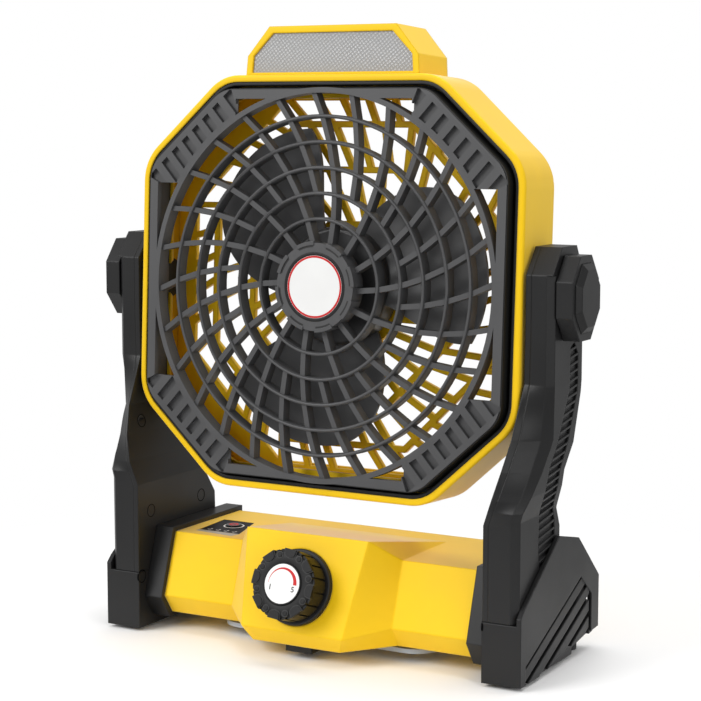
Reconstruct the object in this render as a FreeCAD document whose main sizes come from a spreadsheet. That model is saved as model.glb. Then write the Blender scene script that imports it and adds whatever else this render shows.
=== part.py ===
import FreeCAD, Part
import Sketcher
import math
import os

# Portable camping fan with a rechargeable base and a tilting eight-sided head.
# Millimetres, +Z up, +Y to the back. The origin is on the ground under the middle of the part.

V = FreeCAD.Vector

SIZES = {
    # The tilt axis and the head's rest angle
    "pivot_height": 159.3,
    "pivot_depth": 1.9,
    "rest_tilt": 3.0,
    # The head's shell
    "head_width": 190.0,
    "head_height": 182.4,
    "head_front": 15.5,
    "head_depth": 30.0,
    "corner_run": 41.3,
    "corner_rise": 37.8,
    "corner_round": 21.0,
    "head_wall": 3.0,
    "lip_round": 1.2,
    "ledge_depth": 9.0,
    "ledge_thickness": 2.0,
    "ledge_reach": 6.6,
    "rear_flange": 2.5,
    "liner_wall": 1.6,
    "liner_setback": 0.6,
    # The front grille
    "groove_width": 3.6,
    "grille_stand": 3.8,
    "grille_skirt": 2.0,
    "grille_plate": 2.6,
    "frame_bar": 4.0,
    "opening_radius": 83.2,
    "rim_width": 2.2,
    "first_ring": 29.2,
    "ring_pitch": 11.0,
    "ring_width": 1.6,
    "ring_depth": 6.5,
    "spoke_width": 2.4,
    "spoke_depth": 5.0,
    "spoke_setback": 1.0,
    "spoke_sweep": 0.3,
    "hub_radius": 19.0,
    "hub_stand": 2.2,
    "hub_depth": 9.0,
    "badge_radius": 13.5,
    "badge_thickness": 1.0,
    "slot_pitch": 7.2,
    "slot_width": 3.8,
    "slot_length": 14.0,
    "slot_depth": 2.0,
    # The rear net
    "net_thickness": 2.6,
    "net_rib": 2.8,
    "net_frame": 5.9,
    "net_inner": 27.0,
    "net_middle": 51.0,
    "net_outer": 71.0,
    # The motor and the impeller
    "motor_radius": 20.0,
    "motor_length": 9.3,
    "shaft_radius": 1.6,
    "fan_hub_radius": 26.0,
    "fan_hub_depth": 11.5,
    "fan_hub_wall": 2.0,
    "blade_tip": 73.0,
    "blade_thickness": 1.6,
    "blade_rise": 4.2,
    "fan_setback": 10.5,
    # The lamp on the head
    "lamp_setback": 3.4,
    "lamp_width": 86.0,
    "lamp_top_width": 63.0,
    "lamp_height": 21.2,
    "lamp_shoulder": 8.4,
    "lamp_wall": 3.0,
    "lens_setback": 0.8,
    "lens_thickness": 2.0,
    # The pivots on both sides
    "pivot_radius": 6.0,
    "pivot_flange": 9.0,
    "pivot_flange_depth": 2.2,
    "pivot_clearance": 0.05,
    "washer_radius": 10.0,
    "knob_height": 35.0,
    "knob_width": 27.0,
    "knob_length": 7.4,
    "knob_gap": 0.5,
    "cap_height": 29.0,
    "cap_width": 23.0,
    "cap_face": 0.8,
    "cap_length": 2.4,
    # The arms
    "arm_gap": 1.8,
    "arm_top_width": 12.0,
    "arm_foot_width": 15.4,
    "arm_foot_inside": 86.6,
    "arm_head_top": 21.0,
    "arm_edge": 2.9,
    "cover_thickness": 2.4,
    "arm_wall": 2.4,
    "rib_depth": 1.6,
    "rib_thickness": 0.9,
    "rib_pitch": 3.3,
    "screw_radius": 2.2,
    "screw_length": 6.0,
    # The feet
    "foot_width": 17.8,
    "foot_front": -31.0,
    "foot_back": 51.1,
    "foot_lift": 1.2,
    "foot_step": 33.0,
    "foot_peak": 57.5,
    "pad_radius": 4.2,
    "pad_recess": 1.0,
    # The base bar
    "bar_top": 44.2,
    "bar_bottom": 7.4,
    "bar_knee": 16.2,
    "bar_front_top": -14.6,
    "bar_front_knee": -24.1,
    "bar_front_bottom": -18.1,
    "bar_back": 39.4,
    "bar_half": 77.2,
    "bar_wall": 2.4,
    "collar_margin": 2.2,
    # The control block on the base
    "block_top": 53.5,
    "block_top_front": -26.2,
    "block_top_half": 30.5,
    "block_knee": 12.8,
    "block_knee_front": -40.0,
    "block_knee_half": 25.2,
    "block_bottom": 6.0,
    "block_bottom_front": -35.9,
    "block_bottom_half": 21.9,
    "block_root_half": 40.6,
    "block_run_out": 27.4,
    # The speed knob
    "knob_centre_down": 23.3,
    "dial_tilt": 18.6,
    "skirt_radius": 16.6,
    "skirt_height": 2.4,
    "tyre_radius": 15.2,
    "tyre_height": 11.4,
    "tyre_gap": 0.4,
    "lug_height": 1.0,
    "dial_radius": 8.5,
    "dial_thickness": 1.0,
    "spindle_radius": 3.0,
    "switch_size": 16.0,
    # The display on the base
    "display_left": -72.0,
    "display_right": -48.5,
    "display_front": -5.5,
    "display_back": 18.0,
    "display_skew": 7.0,
    "display_thickness": 1.0,
    "button_radius": 3.6,
    "button_height": 0.8,
    # The battery and boards
    "cell_radius": 9.2,
    "cell_length": 65.0,
    "cell_gap": 0.6,
    "cell_setback": 17.0,
    "board_thickness": 1.6,
    # The hanging bail under the base
    "bail_radius": 1.2,
    "bail_half": 54.0,
    "bail_reach": 39.0,
    "bail_hinge_y": 23.0,
    "bail_height": 4.9,
    "bail_width": 5.0,
    "bail_thickness": 2.0,
    "bail_bend": 12.0,
    "barrel_radius": 1.9,
    "catch_half": 6.5,
    "catch_front": -33.5,
    "catch_bottom": 2.6,
}


class Size:
    """A number that also knows its formula in the sheet."""

    def __init__(self, value, text):
        self.value = float(value)
        self.text = text

    def join(self, other, sign, value, swapped=False):
        word = other.text if isinstance(other, Size) else repr(float(other))
        left, right = (word, self.text) if swapped else (self.text, word)
        return Size(value, f"({left} {sign} {right})")

    def __add__(self, other):
        return self.join(other, "+", self.value + number(other))

    def __radd__(self, other):
        return self.join(other, "+", number(other) + self.value, True)

    def __sub__(self, other):
        return self.join(other, "-", self.value - number(other))

    def __rsub__(self, other):
        return self.join(other, "-", number(other) - self.value, True)

    def __mul__(self, other):
        return self.join(other, "*", self.value * number(other))

    def __rmul__(self, other):
        return self.join(other, "*", number(other) * self.value, True)

    def __truediv__(self, other):
        return self.join(other, "/", self.value / number(other))

    def __neg__(self):
        return Size(-self.value, f"(0 - {self.text})")

    def __float__(self):
        return self.value


def number(thing):
    return thing.value if isinstance(thing, Size) else float(thing)


doc = FreeCAD.newDocument("camping_fan")
sheet = doc.addObject("Spreadsheet::Sheet", "Sizes")
s = {}
for row, (alias, amount) in enumerate(SIZES.items(), start=1):
    sheet.set(f"A{row}", alias)
    sheet.set(f"B{row}", str(amount))
    sheet.setAlias(f"B{row}", alias)
    s[alias] = Size(amount, f"Sizes.{alias}")
doc.recompute()

nodes = {}
EIGHTH = math.tan(math.radians(22.5))
PLANES = {"X": "YZ_Plane", "Y": "XZ_Plane", "Z": "XY_Plane"}


# Small helpers for bound objects

def bind(obj, field, size):
    if isinstance(size, Size):
        obj.setExpression(field, size.text)
    else:
        obj.setExpression(field, repr(float(size)))


def node(name, obj):
    obj.Label = name
    nodes[name] = obj
    return obj


def origin_plane(body, axis):
    for plane in body.Origin.OriginFeatures:
        if plane.Role == PLANES[axis]:
            return plane
    raise RuntimeError("no origin plane " + axis)


def add_outline(sketch, points):
    """A closed outline of straight lines, each corner held by two bound distances."""
    first = sketch.GeometryCount
    count = len(points)
    spots = [V(number(a), number(b), 0) for a, b in points]
    for i in range(count):
        sketch.addGeometry(Part.LineSegment(spots[i], spots[(i + 1) % count]), False)
    for i, (across, up) in enumerate(points):
        last = first + (i - 1) % count
        sketch.addConstraint(Sketcher.Constraint("Coincident", last, 2, first + i, 1))
        for kind, size in (("DistanceX", across), ("DistanceY", up)):
            index = sketch.addConstraint(
                Sketcher.Constraint(kind, -1, 1, first + i, 1, number(size)))
            bind(sketch, f"Constraints[{index}]", size)


def add_circle(sketch, across, up, radius):
    index = sketch.addGeometry(Part.Circle(V(number(across), number(up), 0), V(0, 0, 1), number(radius)))
    for kind, size in (("DistanceX", across), ("DistanceY", up)):
        spot = sketch.addConstraint(Sketcher.Constraint(kind, -1, 1, index, 3, number(size)))
        bind(sketch, f"Constraints[{spot}]", size)
    spot = sketch.addConstraint(Sketcher.Constraint("Radius", index, number(radius)))
    bind(sketch, f"Constraints[{spot}]", radius)


def new_sketch(body, axis, start):
    """A sketch square to an axis of the body, at a bound place along it."""
    sketch = body.newObject("Sketcher::SketchObject", body.Name + "_sketch")
    sketch.AttachmentSupport = (origin_plane(body, axis), "")
    sketch.MapMode = "FlatFace"
    bind(sketch, "AttachmentOffset.Base.z", -start if axis == "Y" else start)
    return sketch


def pad(body, axis, start, length, outlines=(), circles=()):
    """Adds a prism that runs along +axis from start."""
    sketch = new_sketch(body, axis, start)
    for points in outlines:
        add_outline(sketch, points)
    for circle in circles:
        add_circle(sketch, *circle)
    feature = body.newObject("PartDesign::Pad", body.Name + "_pad")
    feature.Profile = sketch
    feature.Reversed = axis == "Y"
    bind(feature, "Length", length)
    doc.recompute()
    return feature


def pocket(body, axis, start, length, outlines=(), circles=()):
    """Cuts a prism that runs along +axis from start."""
    before = body.Shape.Volume
    sketch = new_sketch(body, axis, start)
    for points in outlines:
        add_outline(sketch, points)
    for circle in circles:
        add_circle(sketch, *circle)
    feature = body.newObject("PartDesign::Pocket", body.Name + "_pocket")
    feature.Profile = sketch
    feature.Reversed = axis != "Y"
    bind(feature, "Length", length)
    doc.recompute()
    if body.Shape.Volume > before - 1e-6:
        raise RuntimeError(body.Name + ": the pocket cuts nothing")
    return feature


def prism(name, axis, start, length, outlines=(), circles=()):
    body = doc.addObject("PartDesign::Body", name)
    pad(body, axis, start, length, outlines, circles)
    return body


def round_edges(body, radius, wanted):
    """Rounds the edges of the body's tip that the test picks."""
    tip = body.Tip
    names = [f"Edge{i}" for i, edge in enumerate(tip.Shape.Edges, start=1) if wanted(edge)]
    feature = body.newObject("PartDesign::Fillet", body.Name + "_fillet")
    feature.Base = (tip, names)
    bind(feature, "Radius", radius)
    doc.recompute()
    return feature


def runs_along(direction):
    def test(edge):
        if edge.Curve.TypeId != "Part::GeomLine":
            return False
        return abs(abs(edge.tangentAt(edge.FirstParameter).dot(direction)) - 1) < 1e-6
    return test


def cut(name, base, *tools):
    result = base
    for i, tool in enumerate(tools):
        last = result
        result = doc.addObject("Part::Cut", name if i == len(tools) - 1 else f"{name}_cut")
        result.Base = last
        result.Tool = tool
    doc.recompute()
    return result


def fuse(name, *shapes):
    result = doc.addObject("Part::MultiFuse", name)
    result.Shapes = list(shapes)
    result.Refine = True
    doc.recompute()
    return result


def common(name, one, two):
    result = doc.addObject("Part::MultiCommon", name)
    result.Shapes = [one, two]
    doc.recompute()
    return result


def mirror(name, source):
    result = doc.addObject("Part::Mirroring", name)
    result.Source = source
    result.Normal = V(1, 0, 0)
    doc.recompute()
    return result


def feature(name, shape):
    result = doc.addObject("Part::Feature", name)
    result.Shape = shape
    return result


def group(name, shapes):
    """Separate solids that share one node."""
    return feature(name, Part.makeCompound(shapes))


def cylinder(name, radius, length, base, axis="Z"):
    """A bound cylinder that starts at base and runs along +axis."""
    turn = {"X": (V(0, 1, 0), 90), "Y": (V(1, 0, 0), -90), "Z": (V(0, 0, 1), 0)}[axis]
    result = doc.addObject("Part::Cylinder", name)
    bind(result, "Radius", radius)
    bind(result, "Height", length)
    result.Placement = FreeCAD.Placement(V(0, 0, 0), FreeCAD.Rotation(*turn))
    for letter, size in zip("xyz", base):
        bind(result, f"Placement.Base.{letter}", size)
    doc.recompute()
    return result


def box(name, low, size):
    result = doc.addObject("Part::Box", name)
    for field, length in zip(("Length", "Width", "Height"), size):
        bind(result, field, length)
    for letter, place in zip("xyz", low):
        bind(result, f"Placement.Base.{letter}", place)
    doc.recompute()
    return result


def polar(radius, degrees, depth=0.0):
    """A point in the head's own frame, by its place round the fan's axis."""
    angle = math.radians(degrees)
    return V(radius * math.cos(angle), depth, radius * math.sin(angle))


# Named groups of lengths that several sub-parts share

front = -s["head_front"]
back = front + s["head_depth"]
half_width = s["head_width"] / 2
half_height = s["head_height"] / 2
grille_inset = s["head_wall"] + s["groove_width"]
net_back = back - s["rear_flange"] - 0.1
net_front = net_back - s["net_thickness"]
arm_inside = half_width + s["arm_gap"]
arm_outside = arm_inside + s["arm_top_width"]


def octagon(inset):
    """The head's eight-sided outline, drawn in by an inset."""
    right = half_width - inset
    top = half_height - inset
    shoulder = right - (s["corner_run"] - inset * (1 - EIGHTH))
    side = top - (s["corner_rise"] - inset * (1 - EIGHTH))
    return [(shoulder, top), (-shoulder, top), (-right, side), (-right, -side),
            (-shoulder, -top), (shoulder, -top), (right, -side), (right, side)]


def octagon_prism(name, inset, start, length):
    body = prism(name, "Y", start, length, [octagon(inset)])
    round_edges(body, s["corner_round"] - inset, runs_along(V(0, 1, 0)))
    return body


# The head: shell, grilles and lamp, modelled about the tilt axis and tilted at the end

def head_shell():
    outer = octagon_prism("shell_outer", s["head_wall"] * 0, front, s["head_depth"])
    far_edges = [(number(front), s["lip_round"]), (number(back), s["lip_round"])]
    for place, radius in far_edges:
        round_edges(outer, radius, lambda edge: all(abs(v.Point.y - place) < 1e-6 for v in edge.Vertexes))
    wall = s["head_wall"]
    mouth = octagon_prism("shell_mouth", wall, front - 1, s["ledge_depth"] + 1)
    ledge_back = front + s["ledge_depth"] + s["ledge_thickness"]
    room = octagon_prism("shell_room", wall, ledge_back, back - s["rear_flange"] - ledge_back)
    way = octagon_prism("shell_way", wall + s["ledge_reach"], front - 1, s["head_depth"] + 2)
    pin_hole = cylinder("shell_pin_hole", s["pivot_radius"] + s["pivot_clearance"], s["head_width"] + 2,
                        (-half_width - 1, 0, 0), "X")
    pin_room = cylinder("shell_pin_room", s["pivot_flange"] + 0.3, s["head_width"] - 2 * wall,
                        (-half_width + wall, 0, 0), "X")
    return node("head_shell", cut("head_shell_solid", outer, mouth, room, way, pin_hole, pin_room))


def head_liner():
    """A dark ring inside the shell's mouth, behind its bright lip."""
    start, length = front + s["liner_setback"], s["ledge_depth"] - s["liner_setback"] - 0.02
    outer = octagon_prism("liner_outer", s["head_wall"] + 0.05, start, length)
    inner = octagon_prism("liner_inner", s["head_wall"] + s["liner_wall"], start - 1, length + 2)
    pin_room = cylinder("liner_pin_room", s["pivot_flange"] + 0.3, s["head_width"], (-half_width, 0, 0), "X")
    return node("head_liner", cut("head_liner_solid", outer, inner, pin_room))


def cell_wire(low, high, left, right, sweep, depth):
    """One opening between two rings and two swept spokes."""
    half = number(s["spoke_width"]) / 2

    def corner(radius, angle, side):
        turn = math.degrees(half / radius) * side
        return polar(radius, angle + sweep * radius + turn, depth)

    def arc(radius, start, end):
        middle = polar(radius, (left + right) / 2 + sweep * radius, depth)
        return Part.Arc(corner(radius, start, 1 if start == left else -1), middle,
                        corner(radius, end, 1 if end == left else -1)).toShape()

    sides = [Part.makeLine(corner(low, right, -1), corner(high, right, -1)),
             Part.makeLine(corner(high, left, 1), corner(low, left, 1))]
    return Part.Wire([arc(low, left, right), sides[0], arc(high, right, left), sides[1]])


def ring(inner, outer, start, length):
    """A flat ring about the fan's axis."""
    axis = V(0, 1, 0)
    place = V(0, number(start), 0)
    big = Part.makeCylinder(number(outer), number(length), place, axis)
    return big.cut(Part.makeCylinder(number(inner), number(length), place, axis))


def spoke_disc(start):
    """Spokes and rings as one pierced disc, in bands from the hub to the rim."""
    sweep = number(s["spoke_sweep"])
    half = number(s["ring_width"]) / 2
    radii = [number(s["first_ring"] + s["ring_pitch"] * i) for i in range(5)]
    edges = [number(s["hub_radius"]) - half] + radii + [number(s["opening_radius"]) + half]
    outer = number(s["opening_radius"] + s["rim_width"])
    wires = [Part.Wire(Part.makeCircle(outer, V(0, number(start), 0), V(0, 1, 0)))]
    for band in range(len(edges) - 1):
        count = 14 if band < 2 else 28
        step = 360 / count
        for k in range(count):
            angle = -9.0 + k * step
            wires.append(cell_wire(edges[band] + half, edges[band + 1] - half,
                                   angle, angle + step, sweep, number(start)))
    face = Part.makeFace(wires, "Part::FaceMakerBullseye")
    return face.extrude(V(0, number(s["spoke_depth"]), 0))


def corner_slots(start):
    """Blind louvres on the four corner plates of the grille, with a three-cornered one at each end."""
    outline = [V(number(a), 0, number(b)) for a, b in octagon(grille_inset)]
    across = outline[0] - outline[7]
    across.normalize()
    middle = (outline[0] + outline[7]) * 0.5
    inward = V(across.z, 0, -across.x)
    if inward.dot(middle) > 0:
        inward = inward * -1
    pitch, length = number(s["slot_pitch"]), number(s["slot_length"])
    side = across * (number(s["slot_width"]) / 2)
    edge = middle + inward * 2.6
    shapes = []
    for k in range(6):
        near = edge + across * ((k - 2.5) * pitch)
        far = near + inward * length
        shapes.append([near - side, near + side, far + side, far - side])
    for end in (-1, 1):
        near = edge + across * (end * 3.3 * pitch)
        shapes.append([near, near + across * (end * 0.75 * pitch), near + inward * length])
    depth = V(0, number(s["slot_depth"]), 0)
    quarter = []
    for points in shapes:
        points = [V(p.x, number(start), p.z) for p in points]
        quarter.append(Part.Face(Part.makePolygon(points + points[:1])).extrude(depth))
    rim = number(s["opening_radius"] + s["rim_width"]) + 0.8
    keep = Part.makeCylinder(rim, 60, V(0, number(start) - 20, 0), V(0, 1, 0))
    quarter = [shape.cut(keep) for shape in quarter]
    upper = quarter + [shape.mirror(V(0, 0, 0), V(1, 0, 0)) for shape in quarter]
    return upper + [shape.mirror(V(0, 0, 0), V(0, 0, 1)) for shape in upper]


def front_grille():
    face_y = front - s["grille_stand"]
    depth = s["ledge_depth"] + s["grille_stand"] - 0.1
    outer = octagon_prism("grille_outer", grille_inset, face_y, depth).Shape
    inner = octagon_prism("grille_inner", grille_inset + s["grille_skirt"],
                          face_y + s["grille_plate"], depth).Shape
    shape = outer.cut(inner)
    bar = number(s["frame_bar"] + grille_inset)
    reach_x, reach_z = number(half_width) - bar, number(half_height) - bar
    straight_x = number(half_width - s["corner_run"]) - 10
    straight_z = number(half_height - s["corner_rise"]) - 10
    thick = number(s["grille_plate"]) + 2
    low = number(face_y) - 1
    for x, z in ((reach_x, straight_z), (straight_x, reach_z)):
        shape = shape.cut(Part.makeBox(2 * x, thick, 2 * z, V(-x, low, -z)))
    shape = shape.cut(corner_slots(face_y))
    rim = s["opening_radius"] + s["rim_width"]
    way = Part.makeCylinder(number(rim) - 0.2, 60, V(0, number(face_y) - 1, 0), V(0, 1, 0))
    shape = shape.cut(way)
    rings = [ring(s["opening_radius"] - 0.1, rim, face_y, s["ring_depth"])]
    trim = 0.15
    for i in range(5):
        middle = s["first_ring"] + s["ring_pitch"] * i
        half = s["ring_width"] / 2 - trim
        band_ring = ring(middle - half, middle + half, face_y, s["ring_depth"])
        brow = [edge for edge in band_ring.Edges if edge.BoundBox.YMax < number(face_y) + 0.01]
        rings.append(band_ring.makeFillet(0.55, brow))
    hub_y = number(face_y - s["hub_stand"])
    hub = Part.makeCylinder(number(s["hub_radius"]), number(s["hub_depth"]), V(0, hub_y, 0), V(0, 1, 0))
    recess = Part.makeCylinder(number(s["badge_radius"]) + 0.1, number(s["badge_thickness"]),
                               V(0, hub_y, 0), V(0, 1, 0))
    shape = shape.fuse([spoke_disc(face_y + s["spoke_setback"]), hub] + rings)
    return node("front_grille", feature("front_grille_solid", shape.cut(recess).removeSplitter()))


def hub_badge():
    face_y = front - s["grille_stand"] - s["hub_stand"]
    return node("hub_badge", prism("hub_badge_solid", "Y", face_y, s["badge_thickness"],
                                   circles=[(0, 0, s["badge_radius"])]))


def net_spot(apothem, angle):
    """A point on an eight-sided ring of the rear net, by its place round the fan's axis."""
    swing = (angle + 22.5) % 45 - 22.5
    return polar(apothem / math.cos(math.radians(swing)), angle, number(net_front))


def net_octagon(apothem):
    points = [net_spot(apothem, 22.5 + 45 * k) for k in range(8)]
    return Part.Face(Part.makePolygon(points + points[:1]))


def net_rib(low, high, angle, slant):
    """A straight rib that leans from one ring of the rear net to the next."""
    start, end = net_spot(low, angle), net_spot(high, angle + slant)
    along = end - start
    along.normalize()
    side = V(-along.z, 0, along.x) * (number(s["net_rib"]) / 2)
    points = [start - side, start + side, end + side, end - side]
    return Part.Face(Part.makePolygon(points + points[:1]))


def rear_grille():
    """A flat net of eight-sided rings and slanted ribs in a wide frame."""
    plate = octagon_prism("net_plate", s["head_wall"] + 0.15, net_front, s["net_thickness"]).Shape
    whole_face = next(face for face in plate.Faces if face.BoundBox.YMax < number(net_front) + 0.001)
    half = number(s["net_rib"]) / 2
    rim = number(half_height - s["head_wall"] - s["net_frame"])
    inner, middle, outer = number(s["net_inner"]), number(s["net_middle"]), number(s["net_outer"])
    pieces = [whole_face.cut(net_octagon(rim)), net_octagon(inner + half)]
    for apothem in (middle, outer):
        pieces.append(net_octagon(apothem + half).cut(net_octagon(apothem - half)))
    bands = [(inner, middle, 24, 14.0), (middle, outer, 36, 8.0), (outer, rim + half, 40, 5.0)]
    for low, high, count, slant in bands:
        for k in range(count):
            pieces.append(net_rib(low, high, k * 360 / count, slant))
    thickness = V(0, number(s["net_thickness"]), 0)
    solids = [piece.extrude(thickness) for piece in pieces]
    net = solids[0].multiFuse(solids[1:]).removeSplitter()
    if len(net.Solids) != 1:
        raise RuntimeError("the rear net is not one solid")
    shape = net.Solids[0]
    return node("rear_grille", feature("rear_grille_solid", shape))


def lamp_outline(inset):
    """The lamp's outline from the front, seated on the head's flat top."""
    low = half_height
    top = half_height + s["lamp_height"] - inset
    wide = s["lamp_width"] / 2 - inset
    narrow = s["lamp_top_width"] / 2 - inset * 0.6
    shoulder = low + s["lamp_shoulder"]
    foot = low + inset * 0.4
    return [(wide, foot), (wide - 0.6, shoulder), (narrow, top),
            (-narrow, top), (-(wide - 0.6), shoulder), (-wide, foot)]


def lamp_housing():
    start = front + s["lamp_setback"]
    outer = prism("lamp_outer", "Y", start, s["head_depth"] - s["lamp_setback"],
                  [lamp_outline(s["lamp_wall"] * 0)])
    wall = s["lamp_wall"]
    depth = s["head_depth"] - s["lamp_setback"] - wall
    inner = prism("lamp_inner", "Y", start - 1, depth + 1, [lamp_outline(wall)])
    return node("lamp_housing", cut("lamp_housing_solid", outer, inner))


def lamp_lens():
    start = front + s["lamp_setback"] + s["lens_setback"]
    body = prism("lamp_lens_solid", "Y", start, s["lens_thickness"], [lamp_outline(s["lamp_wall"] + 0.1)])
    return node("lamp_lens", body)


def lamp_board():
    start = front + s["lamp_setback"] + s["lens_setback"] + s["lens_thickness"] + 4
    plate = prism("lamp_board_plate", "Y", start, s["board_thickness"], [lamp_outline(s["lamp_wall"] + 0.2)])
    chips = []
    for across in range(-4, 5):
        chips.append(Part.makeBox(3, 1.2, 3, V(across * 7.5 - 1.5, number(start) - 1.2,
                                               number(half_height) + 8)))
    shape = plate.Shape.fuse(chips)
    return node("lamp_board", feature("lamp_board_solid", shape.removeSplitter()))


def motor():
    back_y = net_front
    start = back_y - s["motor_length"]
    can = cylinder("motor_can", s["motor_radius"], s["motor_length"], (0, start, 0), "Y")
    bore = cylinder("motor_bore", s["shaft_radius"] + s["pivot_clearance"], s["motor_length"] + 2,
                    (0, start - 1, 0), "Y")
    return node("fan_motor", cut("fan_motor_solid", can, bore))


def fan_front_y():
    """The front of the impeller's hub."""
    return front + s["fan_setback"]


def blade():
    """A broad twisted paddle: a sloping ramp about the fan's axis, trimmed to the paddle's outline."""
    tip, root = number(s["blade_tip"]), number(s["fan_hub_radius"]) - 1.5
    middle_y = number(fan_front_y()) + number(s["fan_hub_depth"]) / 2
    rise, half = number(s["blade_rise"]), number(s["blade_thickness"]) / 2
    first, last, count = -34.0, 74.0, 12
    wires = []
    for step in range(count + 1):
        share = step / count
        angle, y = first + (last - first) * share, middle_y + rise * (2 * share - 1)
        points = [polar(root - 2, angle, y - half), polar(tip + 2, angle, y - half),
                  polar(tip + 2, angle, y + half), polar(root - 2, angle, y + half)]
        wires.append(Part.makePolygon(points + points[:1]))
    ramp = Part.makeLoft(wires, True, True)
    low = middle_y - 20
    lead = [(root, -24), (root + 15, -27), (tip - 14, -29), (tip - 3, -26)]
    trail = [(root, 66), (root + 14, 56), (tip - 16, 42), (tip - 3, 25)]
    rows, curves = [], []
    for plan in (lead, trail):
        row = [polar(radius, angle, low) for radius, angle in plan]
        spline = Part.BSplineCurve()
        spline.interpolate(row)
        rows.append(row)
        curves.append(spline.toShape())
    top = Part.Arc(rows[0][-1], polar(tip, 0, low), rows[1][-1]).toShape()
    wire = Part.Wire([curves[0], top, curves[1], Part.makeLine(rows[1][0], rows[0][0])])
    return ramp.common(Part.Face(wire).extrude(V(0, 40, 0)))


def impeller():
    y = number(fan_front_y())
    depth = number(s["fan_hub_depth"])
    radius = number(s["fan_hub_radius"])
    wall = number(s["fan_hub_wall"])
    axis = V(0, 1, 0)
    hub = Part.makeCylinder(radius, depth, V(0, y, 0), axis)
    nose = [edge for edge in hub.Edges if abs(edge.BoundBox.YMax - y) < 1e-6]
    hub = hub.makeFillet(2.5, nose)
    hub = hub.cut(Part.makeCylinder(radius - wall, depth, V(0, y + wall, 0), axis))
    boss = Part.makeCylinder(5, 2, V(0, y + wall, 0), axis)
    paddle = blade().cut(Part.makeCylinder(radius - 0.8, 60, V(0, y - 20, 0), axis))
    paddles = []
    for k in range(3):
        one = paddle.copy()
        one.rotate(V(0, 0, 0), axis, -(8 + 120 * k))
        paddles.append(one)
    shape = hub.fuse([boss] + paddles)
    bore = Part.makeCylinder(number(s["shaft_radius"]), depth + 2, V(0, y + wall, 0), axis)
    return node("impeller", feature("impeller_solid", shape.cut(bore).removeSplitter()))


def motor_shaft():
    start = fan_front_y() + s["fan_hub_wall"] + 0.1
    return node("motor_shaft", prism("motor_shaft_solid", "Y", start, net_front - start - 0.2,
                                     circles=[(0, 0, s["shaft_radius"] - 0.02)]))


def tilt_pins():
    """A flanged pin on each side: it turns with the head and runs in the arm."""
    inside = number(half_width) - number(s["head_wall"])
    radius = number(s["pivot_radius"])
    flange = number(s["pivot_flange"])
    thick = number(s["pivot_flange_depth"])
    out = number(arm_outside) - number(s["arm_wall"]) - 1
    pin = Part.makeCylinder(radius, out - inside + thick, V(inside - thick, 0, 0), V(1, 0, 0))
    head = Part.makeCylinder(flange, thick, V(inside - thick, 0, 0), V(1, 0, 0))
    right = pin.fuse(head).removeSplitter()
    left = right.mirror(V(0, 0, 0), V(1, 0, 0))
    return node("tilt_pins", group("tilt_pins_solid", [right, left]))


# The arms, modelled in the part's frame

def arm_side_outline():
    """The widest outline of the arm from the side, as depth and height, front edge first."""
    y, z = s["pivot_depth"], s["pivot_height"]
    top = z + s["arm_head_top"]
    return [
        (y - 15.5, z + 9.8), (y - 15.5, z - 35.2), (y - 26.0, z - 57.0), (y - 31.0, z - 70.0),
        (y - 33.4, z - 81.6), (y - 32.6, z - 92.0), (y - 32.6, s["foot_step"] - 6),
        (y + 31.0, s["foot_step"] - 6), (y + 30.0, z - 105.0), (y + 15.0, z - 84.0), (y + 11.5, z - 62.0),
        (y + 15.5, z - 41.0), (y + 15.5, z + 9.0), (y + 8.5, top), (y - 6.5, top),
    ]


def arm_outer_front():
    """The front edge of the arm's outer face: height and depth, bottom first."""
    y, z = number(s["pivot_depth"]), number(s["pivot_height"])
    spots = [(-140.0, -32.6), (-94.0, -32.6), (-86.3, -32.6), (-78.6, -26.7), (-70.7, -20.4), (-64.6, -17.2),
             (-58.0, -13.0), (-35.2, -15.5), (9.8, -15.5)]
    return [(z + up, y + along) for up, along in spots]


def arm_outer_back():
    """The rear edge of the arm's outer face: height and depth, bottom first."""
    y, z = number(s["pivot_depth"]), number(s["pivot_height"])
    spots = [(-140.0, 10.0), (-98.0, 10.0), (-89.0, 6.0), (-73.0, 6.0), (-62.0, 11.5), (-41.0, 15.5)]
    return [(z + up, y + along) for up, along in spots]


def arm_inner_line(inset):
    """The arm's face towards the head from the front, top first."""
    z = s["pivot_height"]
    inside, low_inside = arm_inside + inset, s["arm_foot_inside"] + inset
    return [(inside, z + s["arm_head_top"] + 2), (inside, z - 14.0), (inside - 0.4, z - 36.0),
            (inside - 1.1, z - 57.0), (low_inside + 6.8, z - 70.0), (low_inside + 3.7, z - 81.6),
            (low_inside, z - 92.0), (low_inside, s["foot_step"] - 8)]


def arm_outer_line(inset):
    """The arm's outer face from the front, bottom first."""
    z = s["pivot_height"]
    outside = arm_outside - inset
    low_outside = s["arm_foot_inside"] + s["arm_foot_width"] - inset
    return [(low_outside, s["foot_step"] - 8), (low_outside, z - 90.0), (low_outside + 2.6, z - 80.0),
            (outside - 1.6, z - 62.0), (outside, z - 36.0), (outside, z + s["arm_head_top"] + 2)]


def arm_blank(name, inner, outer, side):
    """The space of the arm between its two faces, shrunk inside its rim by side."""
    low = s["arm_foot_inside"] - 10
    profile = prism(name + "_side", "X", low, arm_outside - low + 10, [arm_side_outline()])
    width = prism(name + "_front", "Y", s["pivot_depth"] - 60, 120.0,
                  [arm_inner_line(inner) + arm_outer_line(outer)])
    blank = common(name, profile, width)
    if side == 0:
        return blank.Shape
    core = Part.makeBox(200, 200, 300, V(0, -100, 0)).common(blank.Shape)
    moved = []
    for dy, dz in ((side, 0), (-side, 0), (0, -side), (side * 0.7, -side * 0.7), (-side * 0.7, -side * 0.7)):
        copy = blank.Shape.copy()
        copy.translate(V(0, dy, dz))
        moved.append(copy)
    for copy in moved:
        core = core.common(copy)
    return core


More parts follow.
